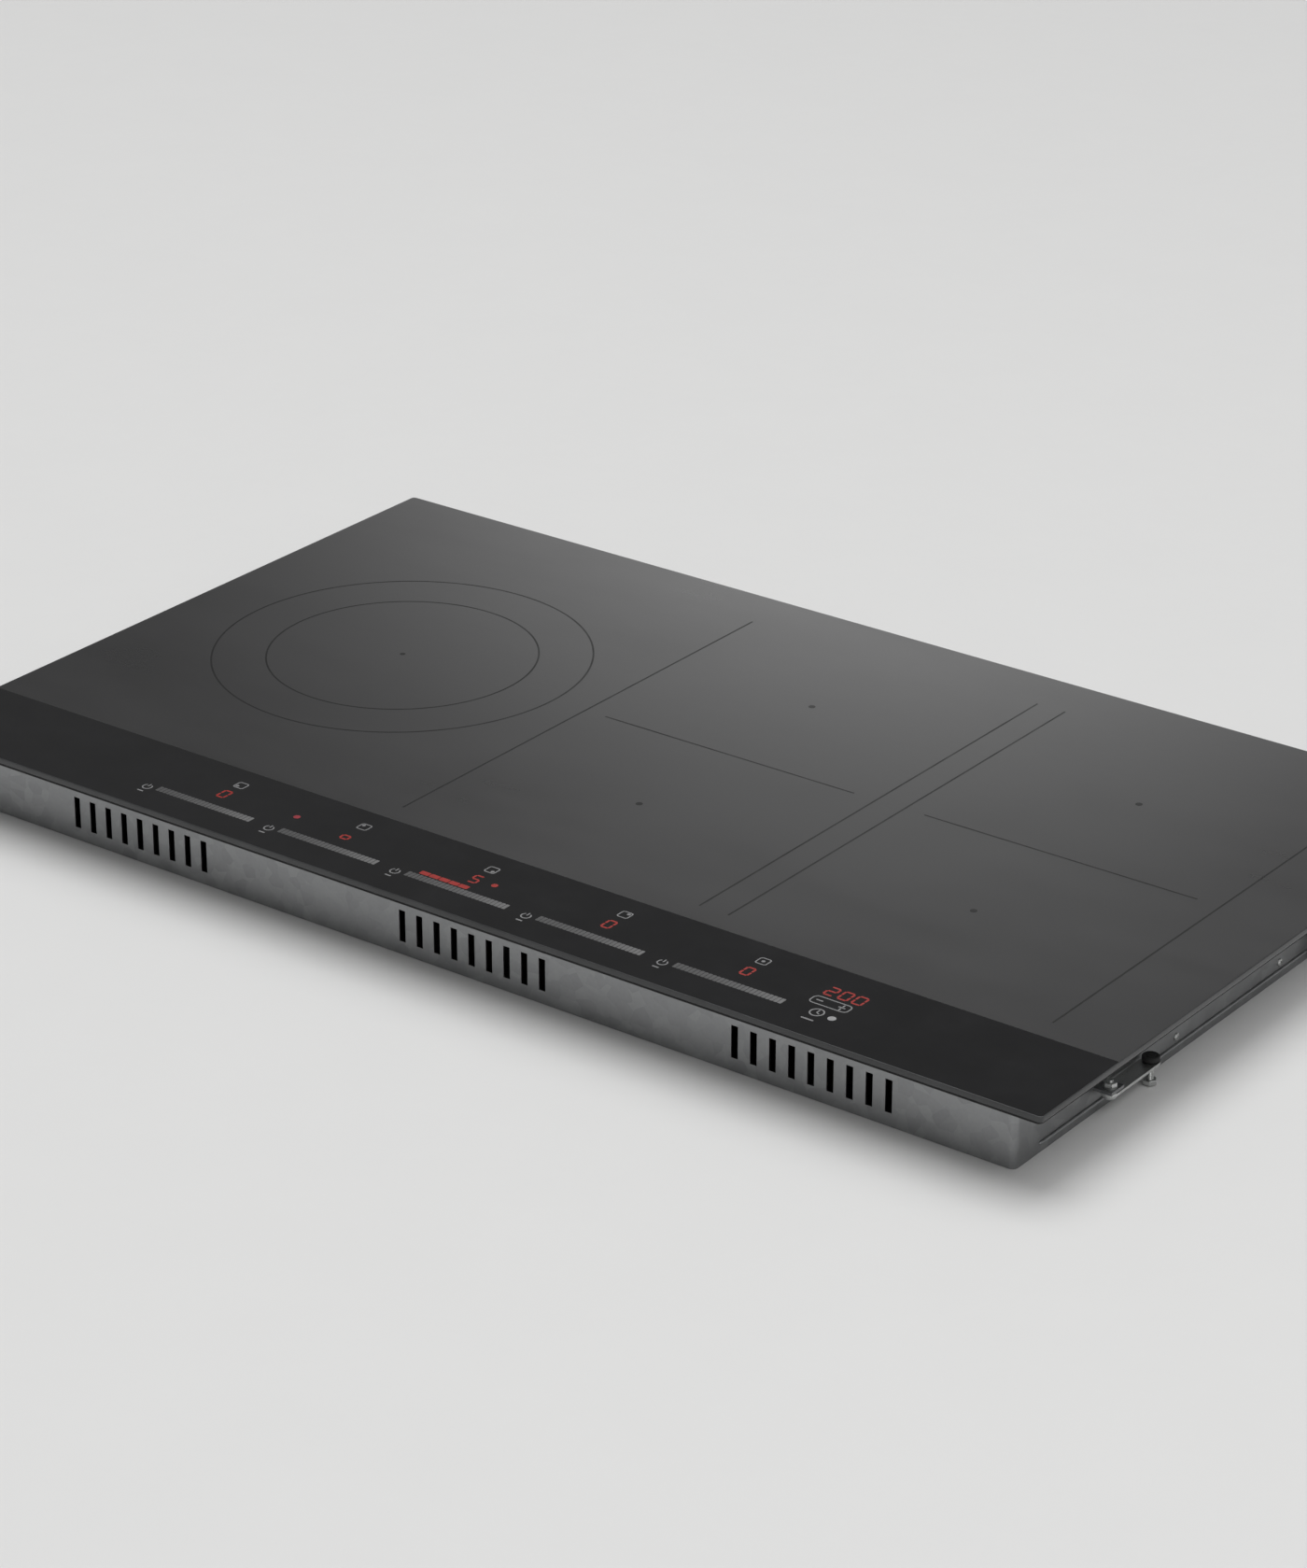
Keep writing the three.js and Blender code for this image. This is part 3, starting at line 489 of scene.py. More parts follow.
def add_lathe(bm, profile, centre=(0, 0, 0), steps=32, axis="Z", material=0):
    """A solid of revolution. The profile's ends lie on the axis, or it closes on itself."""
    quarter = math.pi / 2
    turn = {"Z": Matrix(), "Y": Matrix.Rotation(-quarter, 4, "X"), "X": Matrix.Rotation(quarter, 4, "Y")}
    place = Matrix.Translation(centre) @ turn[axis]
    rings = []
    for radius, height in profile:
        outline = circle(0, 0, radius, steps) if radius else [(0, 0)]
        rings.append([bm.verts.new(place @ Vector((x, y, height))) for x, y in outline])
    skin(bm, rings, profile[0][0] != 0, material)


def add_disc(bm, inner, outer, z0, z1, centre=(0, 0, 0), steps=24, axis="Z", material=0):
    """A disc, or a washer where the inner radius is above zero."""
    add_lathe(bm, [(inner, z0), (outer, z0), (outer, z1), (inner, z1)], centre, steps, axis, material)


def add_tube(bm, points, radius, steps=12, closed=False, material=0, squash=1.0, taper=()):
    """A round or flattened tube along a path. Taper is the share of the radius at each end's first points."""
    path = [Vector(p) for p in points]
    count = len(path)
    rings = []
    side = None
    for i, point in enumerate(path):
        before = path[(i - 1) % count] if closed or i else point
        after = path[(i + 1) % count] if closed or i < count - 1 else point
        ahead = (after - before).normalized()
        if side is None:
            helper = Vector((0, 0, 1)) if abs(ahead.z) < 0.9 else Vector((1, 0, 0))
            side = ahead.cross(helper).normalized()
        side = (side - ahead * side.dot(ahead)).normalized()
        up = side.cross(ahead)
        from_end = min(i, count - 1 - i)
        share = taper[from_end] if from_end < len(taper) else 1.0
        outline = circle(0, 0, radius * share, steps)
        rings.append([bm.verts.new(point + side * x + up * (y * squash)) for x, y in outline])
    skin(bm, rings, closed, material)
    for end in () if closed else (rings[0], rings[-1]):
        bm.faces.new(end).material_index = material


def add_hexagon(bm, x, y, z0, z1, radius, turn=0):
    """A hexagon head or nut with its corners chamfered at both ends."""
    chamfer, end = 0.35, 0.93
    rings = []
    for z, share in ((z0, end), (z0 + chamfer, 1.0), (z1 - chamfer, 1.0), (z1, end)):
        outline = arc(x, y, radius * share, turn, turn + 360, 6)[:-1]
        rings.append([bm.verts.new((px, py, z)) for px, py in outline])
    skin(bm, rings)
    bm.faces.new(rings[0][::-1])
    bm.faces.new(rings[-1])


def spread(count, pitch):
    return [(i - (count - 1) / 2) * pitch for i in range(count)]


# ------------------------------------------------------------------ glass

GLASS_LOW, GLASS_HIGH = box_mm("glass_top")
TOP = GLASS_HIGH[2]
GLASS_FACE = TOP - 0.04
PRINT_LOW = TOP - 0.12
SATIN, GLOSS, EDGE = range(3)
BAND_EDGE_Y = -181.5
ZONE_Y = 29.5
ROUND_X = centre_mm("coil_former_left")[0]
PAIR_X = [centre_mm(f"coil_plate_{place}")[0] for place in ("middle", "right")]


def add_glass():
    """The plate: its ground arris is built as rings, and its face is split where the control strip begins."""
    bm = bmesh.new()
    bottom = GLASS_LOW[2]
    width, depth = GLASS_HIGH[0] - GLASS_LOW[0], GLASS_HIGH[1] - GLASS_LOW[1]
    arris, border, corner = 0.55, 0.9, 3
    levels = []
    for step in range(5):
        angle = math.pi / 2 * step / 4
        levels.insert(0, (arris * (1 - math.cos(angle)), bottom + arris * (1 - math.sin(angle))))
    levels += [(inset, bottom + GLASS_FACE - z) for inset, z in reversed(levels)]
    levels = [(arris + border, bottom)] + levels + [(arris + border, GLASS_FACE)]
    rings = []
    for inset, z in levels:
        outline = rectangle(0, 0, width - 2 * inset, depth - 2 * inset, max(0.9, corner - inset), 6)
        outline = insert_split(outline, width / 2 - inset, BAND_EDGE_Y)
        rings.append([bm.verts.new((x, y, z)) for x, y in outline])
    bands = [stitch(bm, a, b, EDGE) for a, b in zip(rings, rings[1:])]
    for face in bands[0]:
        face.material_index = GLOSS
    for face in bands[-1]:
        behind = (face.verts[0].co.y + face.verts[1].co.y) / 2 > BAND_EDGE_Y
        face.material_index = SATIN if behind else GLOSS
    bm.faces.new(rings[0][::-1]).material_index = GLOSS
    top = rings[-1]
    split = [i for i, v in enumerate(top) if abs(v.co.y - BAND_EDGE_Y) < 1e-4]
    right, left = sorted(split, key=lambda i: -top[i].co.x)
    bm.faces.new(top[right : left + 1]).material_index = SATIN
    bm.faces.new(top[left:] + top[: right + 1]).material_index = GLOSS
    materials = [GLASS_SATIN, GLASS_GLOSS, GLASS_EDGE]
    finish_piece("glass_plate", bm, materials, slot="black_glass", replaces=["glass_top"])


def insert_split(outline, half, y):
    """Adds a point on the right and left sides of the outline at height y."""
    points = []
    for i, (ax, ay) in enumerate(outline):
        points.append((ax, ay))
        _, by = outline[(i + 1) % len(outline)]
        if (ay - y) * (by - y) < 0:
            points.append((math.copysign(half, ax), y))
    return points


# ------------------------------------------------------------------ printed marks and lights



def add_line(bm, points, width=1.3):
    add_strip(bm, points, width, PRINT_LOW, TOP)


def add_mark(bm, outline, holes=()):
    add_plate(bm, outline, PRINT_LOW, TOP, holes)


def add_dot(bm, x, y, radius, steps=24):
    add_mark(bm, circle(x, y, radius, steps))


def add_bar(bm, x, y, width, depth, radius, steps=3):
    add_mark(bm, rectangle(x, y, width, depth, radius, steps))


def add_ring(bm, x, y, radius, width, steps=32):
    add_mark(bm, circle(x, y, radius, steps), [circle(x, y, radius - width, steps)])


def add_frame(bm, x, y, width, depth, line, radius):
    inner = rectangle(x, y, width - 2 * line, depth - 2 * line, max(0.3, radius - line), 4)
    add_mark(bm, rectangle(x, y, width, depth, radius, 4), [inner])


def add_zone_marks():
    bm = bmesh.new()
    line = 1.3
    for radius in (132.6, 94.7):
        add_ring(bm, ROUND_X, ZONE_Y, radius + line / 2, line, 180)
    add_dot(bm, ROUND_X, ZONE_Y, 2.0)
    finish_piece("round_zone_print", bm, ZONE_PRINT, slot="black_glass")
    bm = bmesh.new()
    for x in (-104.5, 133.9, 156.0, 392.5):
        add_line(bm, [(x, ZONE_Y - 193), (x, ZONE_Y + 193)])
    for centre in PAIR_X:
        add_line(bm, [(centre - 102, ZONE_Y), (centre + 102, ZONE_Y)])
        for end in (-97, 97):
            add_dot(bm, centre, ZONE_Y + end, 2.4)
    finish_piece("pair_zone_print", bm, ZONE_PRINT, slot="black_glass")


SLIDER_X = spread(5, 105)
SLIDER_Y = -237.0
SLIDER_LENGTH = 81
DIGIT_Y = -217.7
SIGN_Y = -201.4
TIMER_KEYS_Y = -222.6
# The on key stands left of its slider's middle.
KEY_SHIFT = -48
SEGMENTS = {"0": "abcdef", "2": "abged", "5": "afgcd", "o": "cdeg"}


def add_slider_scales():
    """Each scale is a row of small printed cells."""
    bm = bmesh.new()
    cells = 27
    pitch = SLIDER_LENGTH / cells
    for x in SLIDER_X:
        for offset in spread(cells, pitch):
            add_bar(bm, x + offset, SLIDER_Y, pitch - 0.35, 6.6, 0.6)
    finish_piece("slider_scales", bm, SCALE_PRINT, slot="black_glass")


def add_symbols():
    """An on key and a zone sign at every slider, and the timer's minus, plus, clock and dash."""
    bm = bmesh.new()
    for x, (sx, sy) in zip(SLIDER_X, [(-1, -1), (-1, 1), (1, -1), (1, 1), (0, 0)]):
        key_x = x + KEY_SHIFT
        add_line(bm, arc(key_x, -239.2, 3.2, 125, 415, 20), 0.9)
        add_line(bm, [(key_x, -238.6), (key_x, -235.0)], 0.9)
        add_bar(bm, key_x, -246.2, 5.0, 1.2, 0.5)
        add_frame(bm, x, SIGN_Y, 8.6, 8.6, 0.9, 2.0)
        add_dot(bm, x + sx * 1.7, SIGN_Y + sy * 1.7, 1.3, 16)
    add_frame(bm, 274.5, TIMER_KEYS_Y, 28, 10, 0.9, 3.5)
    for x in (266.5, 282.5):
        add_bar(bm, x, TIMER_KEYS_Y, 5, 1.1, 0.4, 2)
    for shift in (-2.3, 2.3):
        add_bar(bm, 282.5, TIMER_KEYS_Y + shift, 1.1, 2.6, 0.4, 2)
    add_ring(bm, 274, -236.2, 4.9, 1.0)
    add_line(bm, [(274, -232.9), (274, -236.4), (276.4, -237.6)], 0.9)
    add_bar(bm, 274, -246.4, 9, 1.4, 0.6)
    finish_piece("key_symbols", bm, SYMBOL_PRINT, slot="black_glass")


def add_digit(bm, character, x, y, height, width):
    """A seven-segment figure centred on x, y, with mitred segments."""
    half, gap = 0.75, 0.18
    w, h = width / 2 - half, height / 2 - half
    ends = {
        "a": (-w, h, w, h), "b": (w, h, w, 0), "c": (w, 0, w, -h), "d": (-w, -h, w, -h),
        "e": (-w, 0, -w, -h), "f": (-w, h, -w, 0), "g": (-w, 0, w, 0),
    }
    for segment in SEGMENTS[character]:
        ax, ay, bx, by = ends[segment]
        length = math.hypot(bx - ax, by - ay)
        ux, uy = (bx - ax) / length, (by - ay) / length
        far = length - half
        shape = [(gap, 0), (half, -half), (far, -half), (length - gap, 0), (far, half), (half, half)]
        add_mark(bm, [(x + ax + ux * u - uy * v, y + ay + uy * u + ux * v) for u, v in shape])


def add_lights():
    bm = bmesh.new()
    for x, character in zip(SLIDER_X, "0o500"):
        add_digit(bm, character, x, DIGIT_Y, 11.4, 7.4)
    for x, character in zip((266.0, 276.2, 286.2), "200"):
        add_digit(bm, character, x, -209, 11.6, 8.0)
    for offset in spread(5, 7.8):
        add_bar(bm, SLIDER_X[2] - 15 + offset, -230.4, 7.3, 4.4, 0.8)
    add_dot(bm, 15.1, DIGIT_Y, 2.3)
    finish_piece("red_displays", bm, RED_LIGHT, slot="black_glass")
    lamps = (("pink_lamp", PINK_LIGHT, -149.5, -215.8, 2.4), ("white_lamp", WHITE_LIGHT, 285.6, -237.4, 2.7))
    for name, material, x, y, radius in lamps:
        bm = bmesh.new()
        add_dot(bm, x, y, radius)
        finish_piece(name, bm, material, slot="black_glass")


# ------------------------------------------------------------------ fasteners and sheet-metal detail


# Shares of the radius and of the height, from the seat out, over the dome and down into the socket.
PAN_HEAD = [(0, 0), (1, 0), (1, 0.35), (0.9, 0.7), (0.68, 0.94), (0.5, 1), (0.42, 1), (0.378, 0.45), (0, 0.4)]


def add_pan_head(bm, centre, radius, height, axis="Z", flip=1):
    """A domed screw head with a round socket sunk into its top."""
    add_lathe(bm, [(radius * r, height * h * flip) for r, h in PAN_HEAD], centre, 20, axis)


def add_thread(bm, x, y, z0, z1, radius, pitch=1.25, steps=14):
    """A screw thread as one closed solid: rings whose radius follows the pitch."""
    count = int((z1 - z0) / (pitch / 2))
    profile = [(radius * (1.0 if i % 2 else 0.84), (z1 - z0) * i / count) for i in range(count + 1)]
    add_lathe(bm, [(0, 0)] + profile + [(0, z1 - z0)], (x, y, z0), steps)


def add_bead(bm, start, end, radius=1.5):
    """A pressed bead: half of a round bar stands out of the sheet and runs out gently at both ends."""
    a, b = Vector(start), Vector(end)
    ahead = (b - a).normalized()
    inset = (0.0, 0.5, 1.4, 3.2)
    points = [a + ahead * d for d in inset] + [b - ahead * d for d in reversed(inset)]
    add_tube(bm, points, radius, 14, taper=(0.12, 0.45, 0.78))


TRAY_TOP = box_mm("bottom_tray")[1][2]
WALL_X = 418.0
WALL_Y = 241.0


def add_tray_details():
    """Beads, rivets, screws, an earth screw and a blank rating plate on the folded tray."""
    bm = bmesh.new()
    for x in (-WALL_X, WALL_X):
        add_bead(bm, (x, -215, 6), (x, 215, 6))
    for y, end in ((-WALL_Y, 405), (WALL_Y, 260)):
        add_bead(bm, (-405, y, 37.5), (end, y, 37.5))
    finish_piece("tray_beads", bm, STEEL, slot="galvanised_steel")
    bm = bmesh.new()
    for side in (-1, 1):
        for y in (-225, -70, 70, 225):
            add_pan_head(bm, (side * WALL_X, y, 44), 3.2, 1.6, "X", side)
        for y in (-62, 62):
            add_pan_head(bm, (side * WALL_X, y, 12), 2.6, 1.2, "X", side)
    for side, row in ((-1, (-390, -130, 144, 405)), (1, (-390, -200, 0, 200))):
        for x in row:
            add_pan_head(bm, (x, side * WALL_Y, 43.5), 3.2, 1.6, "Y", side)
    add_disc(bm, 0, 6, 0, 0.8, (240, WALL_Y, 20), axis="Y")
    add_pan_head(bm, (240, WALL_Y + 0.8, 20), 3.8, 2.2, "Y")
    finish_piece("tray_screws", bm, ZINC, slot="zinc_steel")
    bm = bmesh.new()
    add_box(bm, -150, -60, WALL_Y, WALL_Y + 0.25, 8, 32)
    finish_piece("blank_rating_plate", bm, ALUMINIUM, slot="aluminium", bevel=0.1)


def add_frame_screws():
    """The screws that pull the tray's flange up against the frame under the glass."""
    head_top = TRAY_TOP - 1.05
    thread_top = box_mm("support_frame")[1][2] - 0.2
    bm = bmesh.new()
    for side in (-1, 1):
        for y in spread(4, 130):
            add_pan_head(bm, (side * 424, y, head_top), 3.4, 1.8, flip=-1)
            add_thread(bm, side * 424, y, head_top - 0.6, thread_top, 1.75, 0.8, 12)
    finish_piece("frame_screws", bm, ZINC, slot="zinc_steel")


def add_seal():
    """The foam seal with its outer lip rounded and a shallow groove along its underside."""
    low, high = box_mm("perimeter_seal")
    width, depth = high[0] - low[0], high[1] - low[1]
    bottom, top = low[2], high[2]
    profile = [
        (0.5, top), (0, top - 0.5), (0, bottom + 0.6), (0.6, bottom), (4.2, bottom), (4.6, bottom + 0.5),
        (6.0, bottom + 0.5), (6.4, bottom), (10.0, bottom), (10.3, bottom + 0.3), (10.3, top),
    ]
    bm = bmesh.new()
    rings = []
    for inset, z in profile:
        outline = rectangle(0, 0, width - 2 * inset, depth - 2 * inset, max(1.0, 4 - inset), 4)
        rings.append([bm.verts.new((x, y, z)) for x, y in outline])
    skin(bm, rings, closed=True)
    finish_piece("foam_seal", bm, FOAM, slot="seal_foam", replaces=["perimeter_seal"], smooth=50)


# ------------------------------------------------------------------ clamps


def add_clamps():
    for corner in CORNERS:
        arm_low, arm_high = box_mm(f"clamp_arm_{corner}")
        px, py, _ = centre_mm(f"clamp_pivot_{corner}")
        jx, jy, _ = centre_mm(f"clamp_jack_{corner}")
        way = math.copysign(1, jy - py)
        start = 180 if way > 0 else 0
        body = f"clamp_{corner}"
        bm = bmesh.new()
        outline = arc(px, py, 6, start, start + 180, 14)
        outline += arc(jx, jy, 6, start + 180, start + 360, 14)
        holes = [circle(px, py, 2.35, 20), circle(jx, jy, 2.7, 20)]
        add_plate(bm, outline, arm_high[2] - 2, arm_high[2], holes)
        finish_piece(f"clamp_strip_{corner}", bm, ZINC, body, "zinc_steel", [f"clamp_arm_{corner}"], bevel=0.35)
        bm = bmesh.new()
        add_tube(bm, [(px, py + way * end, arm_low[2] + 1.5) for end in (9.2, 36.8)], 1.5, 14)
        finish_piece(f"clamp_bead_{corner}", bm, ZINC, body, "zinc_steel")
        bm = bmesh.new()
        low, high = box_mm(f"clamp_pivot_{corner}")
        add_pan_head(bm, (px, py, low[2] + 3.2), 4.6, 3.2, flip=-1)
        add_thread(bm, px, py, low[2] + 2.6, high[2], 2.0, 0.9)
        add_hexagon(bm, px, py, 18.7, 21.8, 4.35, turn=15)
        add_disc(bm, 2.2, 4.6, 18.35, 18.65, (px, py, 0))
        finish_piece(f"clamp_pivot_screw_{corner}", bm, ZINC, HOUSING, "zinc_steel", [f"clamp_pivot_{corner}"])
        body = f"jack_{corner}"
        low, high = box_mm(f"clamp_jack_{corner}")
        bm = bmesh.new()
        add_hexagon(bm, jx, jy, low[2], low[2] + 3, 4.6)
        add_thread(bm, jx, jy, low[2] + 2.8, high[2] - 2.6, 2.3)
        finish_piece(f"clamp_jack_screw_{corner}", bm, ZINC, body, "zinc_steel")
        bm = bmesh.new()
        pad = [(0, -3.4), (5.0, -3.4), (5.6, -2.6), (5.6, -0.6), (5.1, 0), (4.2, 0), (4.0, -0.4), (3.0, -0.4)]
        add_lathe(bm, [(r, high[2] + z) for r, z in pad + [(2.8, 0), (0, 0)]], (jx, jy, 0), 28)
        finish_piece(f"clamp_pad_{corner}", bm, RUBBER, body, "zinc_steel", [f"clamp_jack_{corner}"])


# ------------------------------------------------------------------ mains connection


MAINS_ROUTE = [
    (310, 206), (303, 205.2), (296, 205), (283, 204.8), (270, 205),
    (261, 206.6), (252, 209), (244, 210.8), (236.2, 212),
]
# Colour, shift to the rear and height of each mains wire.
MAINS_WIRES = {
    "brown": ((0.12, 0.045, 0.02), -2.1, 15.0),
    "blue": ((0.02, 0.07, 0.35), 0.0, 17.9),
    "green": ((0.05, 0.22, 0.04), 2.1, 15.0),
}


def add_terminals():
    low, high = box_mm("terminal_block")
    middle = (low[0] + high[0]) / 2
    ways = spread(5, 16)
    bm = bmesh.new()
    for offset in ways:
        add_pan_head(bm, (middle + offset, 214, low[2] + 11.2), 2.9, 2.4)
        cage = [(2.0, -6), (2.7, -6), (2.7, -0.7), (2.4, -0.4), (2.0, -0.6)]
        add_lathe(bm, cage, (middle + offset, 224, low[2] + 7), 20, "Y")
    finish_piece("terminal_screws", bm, ZINC, slot="zinc_steel")
    bm = bmesh.new()
    for offset in ways:
        x = middle + offset
        add_box(bm, x - 5, x + 5, 206, 209, low[2] + 15.1, low[2] + 15.9)
    finish_piece("terminal_links", bm, COPPER, slot="copper_litz", bevel=0.15)
    outer = box_mm("cable_gland")[1][1]
    x, _, z = centre_mm("cable_gland")
    bm = bmesh.new()
    for i in range(12):
        angle = math.radians(30 * i + 15)
        gx, gz = x + 10.3 * math.cos(angle), z + 10.3 * math.sin(angle)
        add_tube(bm, [(gx, outer - 3.2, gz), (gx, outer - 6.6, gz)], 0.6, 8)
    ring = [(5.7, -0.9), (7.0, -0.9), (7.4, -0.5), (7.4, 0.1), (5.7, 0.1)]
    add_lathe(bm, ring, (x, outer - 0.5, z), 32, "Y")
    finish_piece("gland_grip", bm, RUBBER, slot="black_plastic")
    for name, (color, shift, height) in MAINS_WIRES.items():
        material = plain_surface(f"wire_{name}", color, 0.42)
        bm = bmesh.new()
        add_tube(bm, [(px, py + shift, height) for px, py in MAINS_ROUTE], 1.75, 12)
        replaced = ["mains_harness"] if name == "blue" else []
        finish_piece(f"mains_wire_{name}", bm, material, slot="red_wire", replaces=replaced)


# ------------------------------------------------------------------ coils


def add_winding(node, inner, outer, turns, wire):
    """One length of wire wound from the inner outline out to the outer one, in place of the node's block."""
    per_turn = len(inner)
    total = per_turn * turns
    z = centre_mm(node)[2]
    points = []
    for i in range(total + 1):
        share = i / total
        (ax, ay), (bx, by) = inner[i % per_turn], outer[i % per_turn]
        points.append((ax + (bx - ax) * share, ay + (by - ay) * share, z))
    bm = bmesh.new()
    add_tube(bm, points, wire, 10, squash=1.25)
    name = node.replace("coil_winding", "litz_spiral")
    finish_piece(name, bm, LITZ, slot="copper_litz", replaces=[node], smooth=60)


def add_windings():
    """Round spirals in two rings on the left zone, and rounded rectangles on the pair zones."""
    wire = 1.85
    for kind, hole, turns in (("outer", 99, 7), ("inner", 24, 17)):
        node = f"coil_winding_left_{kind}"
        low, high = box_mm(node)
        x, y, _ = centre_mm(node)
        inner, outer = [circle(x, y, r, 72) for r in (hole + wire, (high[0] - low[0]) / 2 - wire)]
        add_winding(node, inner, outer, turns, wire)
    wire = 1.8
    for spot in PAIR_SPOTS:
        node = f"coil_winding_{spot}"
        low, high = box_mm(node)
        x, y, _ = centre_mm(node)
        inner = rectangle(x, y, 64 + 2 * wire, 40 + 2 * wire, 17, 8)
        outer = rectangle(x, y, high[0] - low[0] - 2 * wire, high[1] - low[1] - 2 * wire, 44, 8)
        add_winding(node, inner, outer, 18, wire)


def add_probes():
    """White probes that press up under the glass, each on a coil spring that stands on the coil plate."""
    travel, turns, steps, wire = 3, 5, 14, 0.4
    for spot in SPOTS:
        node = f"temperature_probe_{spot}"
        low, high = box_mm(node)
        bottom, top = low[2], high[2]
        x, y, _ = centre_mm(node)
        bm = bmesh.new()
        profile = [
            (0, bottom), (5.0, bottom), (5.4, bottom + 0.4), (5.4, bottom + 1.6), (3.0, bottom + 1.6),
            (3.0, top - 3), (5.2, top - 3), (5.6, top - 2.6), (5.6, top - 0.6), (5.0, top), (0, top),
        ]
        add_lathe(bm, profile, (x, y, 0), 28)
        finish_piece(f"probe_body_{spot}", bm, WHITE_PLASTIC, f"probe_{spot}", "probe_ceramic", [node])
        bm = bmesh.new()
        z0, z1 = box_mm(f"coil_plate_{spot.split('_')[0]}")[1][2] + 0.45, top - 3.45
        coil = []
        for i in range(turns * steps + 1):
            angle = 2 * math.pi * i / steps
            z = z0 + (z1 - z0) * i / (turns * steps)
            coil.append((x + 4.3 * math.cos(angle), y + 4.3 * math.sin(angle), z))
        add_tube(bm, coil, wire, 8)
        spring = finish_piece(f"probe_spring_{spot}", bm, ZINC, HOUSING, "zinc_steel")
        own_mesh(spring)


# ------------------------------------------------------------------ fans, heat sinks and boards


def add_fan_rotors():
    """Each wheel: a hub with its back plate, a front ring and thirty curved blades."""
    blades = 30
    for place in MODULES:
        node = f"fan_rotor_{place}"
        low, high = box_mm(node)
        x, y, _ = centre_mm(node)
        z0, z1 = low[2], high[2]
        bm = bmesh.new()
        hub = [
            (3.4, z0 + 4), (13.2, z0 + 4), (14, z0 + 4.8), (14, z1 - 1.6), (39.6, z1 - 1.6),
            (39.9, z1 - 1.2), (39.9, z1 - 0.3), (39.6, z1), (3.4, z1),
        ]
        ring = [(31, z0), (39.7, z0), (40, z0 + 0.4), (40, z0 + 1.4), (31, z0 + 1.4)]
        for profile in (hub, ring):
            add_lathe(bm, profile, (x, y, 0), 48)
        for i in range(blades):
            turn = math.radians(360 / blades * i)
            c, s = math.cos(turn), math.sin(turn)
            blade = [(px + 30.2, py - 6.0) for px, py in arc(0, 0, 7.5, 20, 115, 6)]
            curve = [(x + px * c - py * s, y + px * s + py * c) for px, py in blade]
            add_strip(bm, curve, 0.8, z0 + 0.7, z1 - 1.2)
        finish_piece(f"blower_wheel_{place}", bm, BLACK_PLASTIC, f"fan_{place}", "black_plastic", [node])


# From the wheel's axis and the housing's top to the power board.
BLOWER_LEAD = [
    (20, -4, 1.6), (32, -4, 1.9), (42, -6, 2.0), (49, -12, 0.0), (56, -24, -8),
    (66, -44, -14), (78, -66, -14), (86, -80, -12), (88.5, -86, -11),
]


def add_fan_housing_details():
    """Ribs, a label and screwed lugs on each blower housing, and the motor's two leads."""
    for place in MODULES:
        low, high = box_mm(f"fan_housing_{place}")
        x, y, _ = centre_mm(f"fan_rotor_{place}")
        foot, top = low[2], high[2]

        def at(radius, degrees):
            angle = math.radians(degrees)
            return x + radius * math.cos(angle), y + radius * math.sin(angle)

        bm = bmesh.new()
        for i in range(10):
            add_strip(bm, [at(19, 36 * i), at(41, 36 * i)], 1.6, top - 0.4, top + 0.7)
        inner = [(16, -0.4), (19.5, -0.4), (19.5, 0.9), (19.0, 1.2), (16.5, 1.2), (16, 0.9)]
        outer = [(41, -0.4), (43, -0.4), (43, 0.5), (42.7, 0.8), (41.3, 0.8), (41, 0.5)]
        for rim, steps in ((inner, 48), (outer, 64)):
            add_lathe(bm, rim, (x, y, top), steps)
        lugs = (25, 110, 195)
        for degrees in lugs:
            add_strip(bm, [at(44.5, degrees), at(51, degrees)], 9, foot, foot + 3)
            boss = [(0, 0), (4.6, 0), (4.6, 3.2), (4.2, 3.6), (0, 3.6)]
            add_lathe(bm, boss, (*at(51, degrees), foot), 24)
        finish_piece(f"blower_ribs_{place}", bm, BLACK_PLASTIC, slot="black_plastic")
        bm = bmesh.new()
        for degrees in lugs:
            add_pan_head(bm, (*at(51, degrees), foot + 3.6), 3.3, 1.8)
        finish_piece(f"blower_screws_{place}", bm, ZINC, slot="zinc_steel")
        bm = bmesh.new()
        add_disc(bm, 0, 13, -0.1, 0.12, (x, y, top), 48)
        finish_piece(f"blower_label_{place}", bm, WHITE_PLASTIC, slot="white_plastic")
        for kind, material, shift in (("red", RED_WIRE, 0.0), ("black", BLACK_PART, 2.4)):
            bm = bmesh.new()
            add_tube(bm, [(x + px, y + py + shift, top + pz) for px, py, pz in smoothed(BLOWER_LEAD)], 0.85, 8)
            finish_piece(f"blower_lead_{kind}_{place}", bm, material, slot="red_wire")


def smoothed(points, rounds=2):
    """Cuts the corners of a path, so that a tube along it bends gently."""
    for _ in range(rounds):
        cut = [points[0]]
        for a, b in zip(points, points[1:]):
            for share in (0.25, 0.75):
                cut.append(tuple(p * (1 - share) + q * share for p, q in zip(a, b)))
        points = cut + [points[-1]]
    return points


def spade(x, lead, coil):
    """Where a coil's lead lands on the board under the coil plate's middle x."""
    return x - 70 + 12 * lead, -44 + 22 * coil


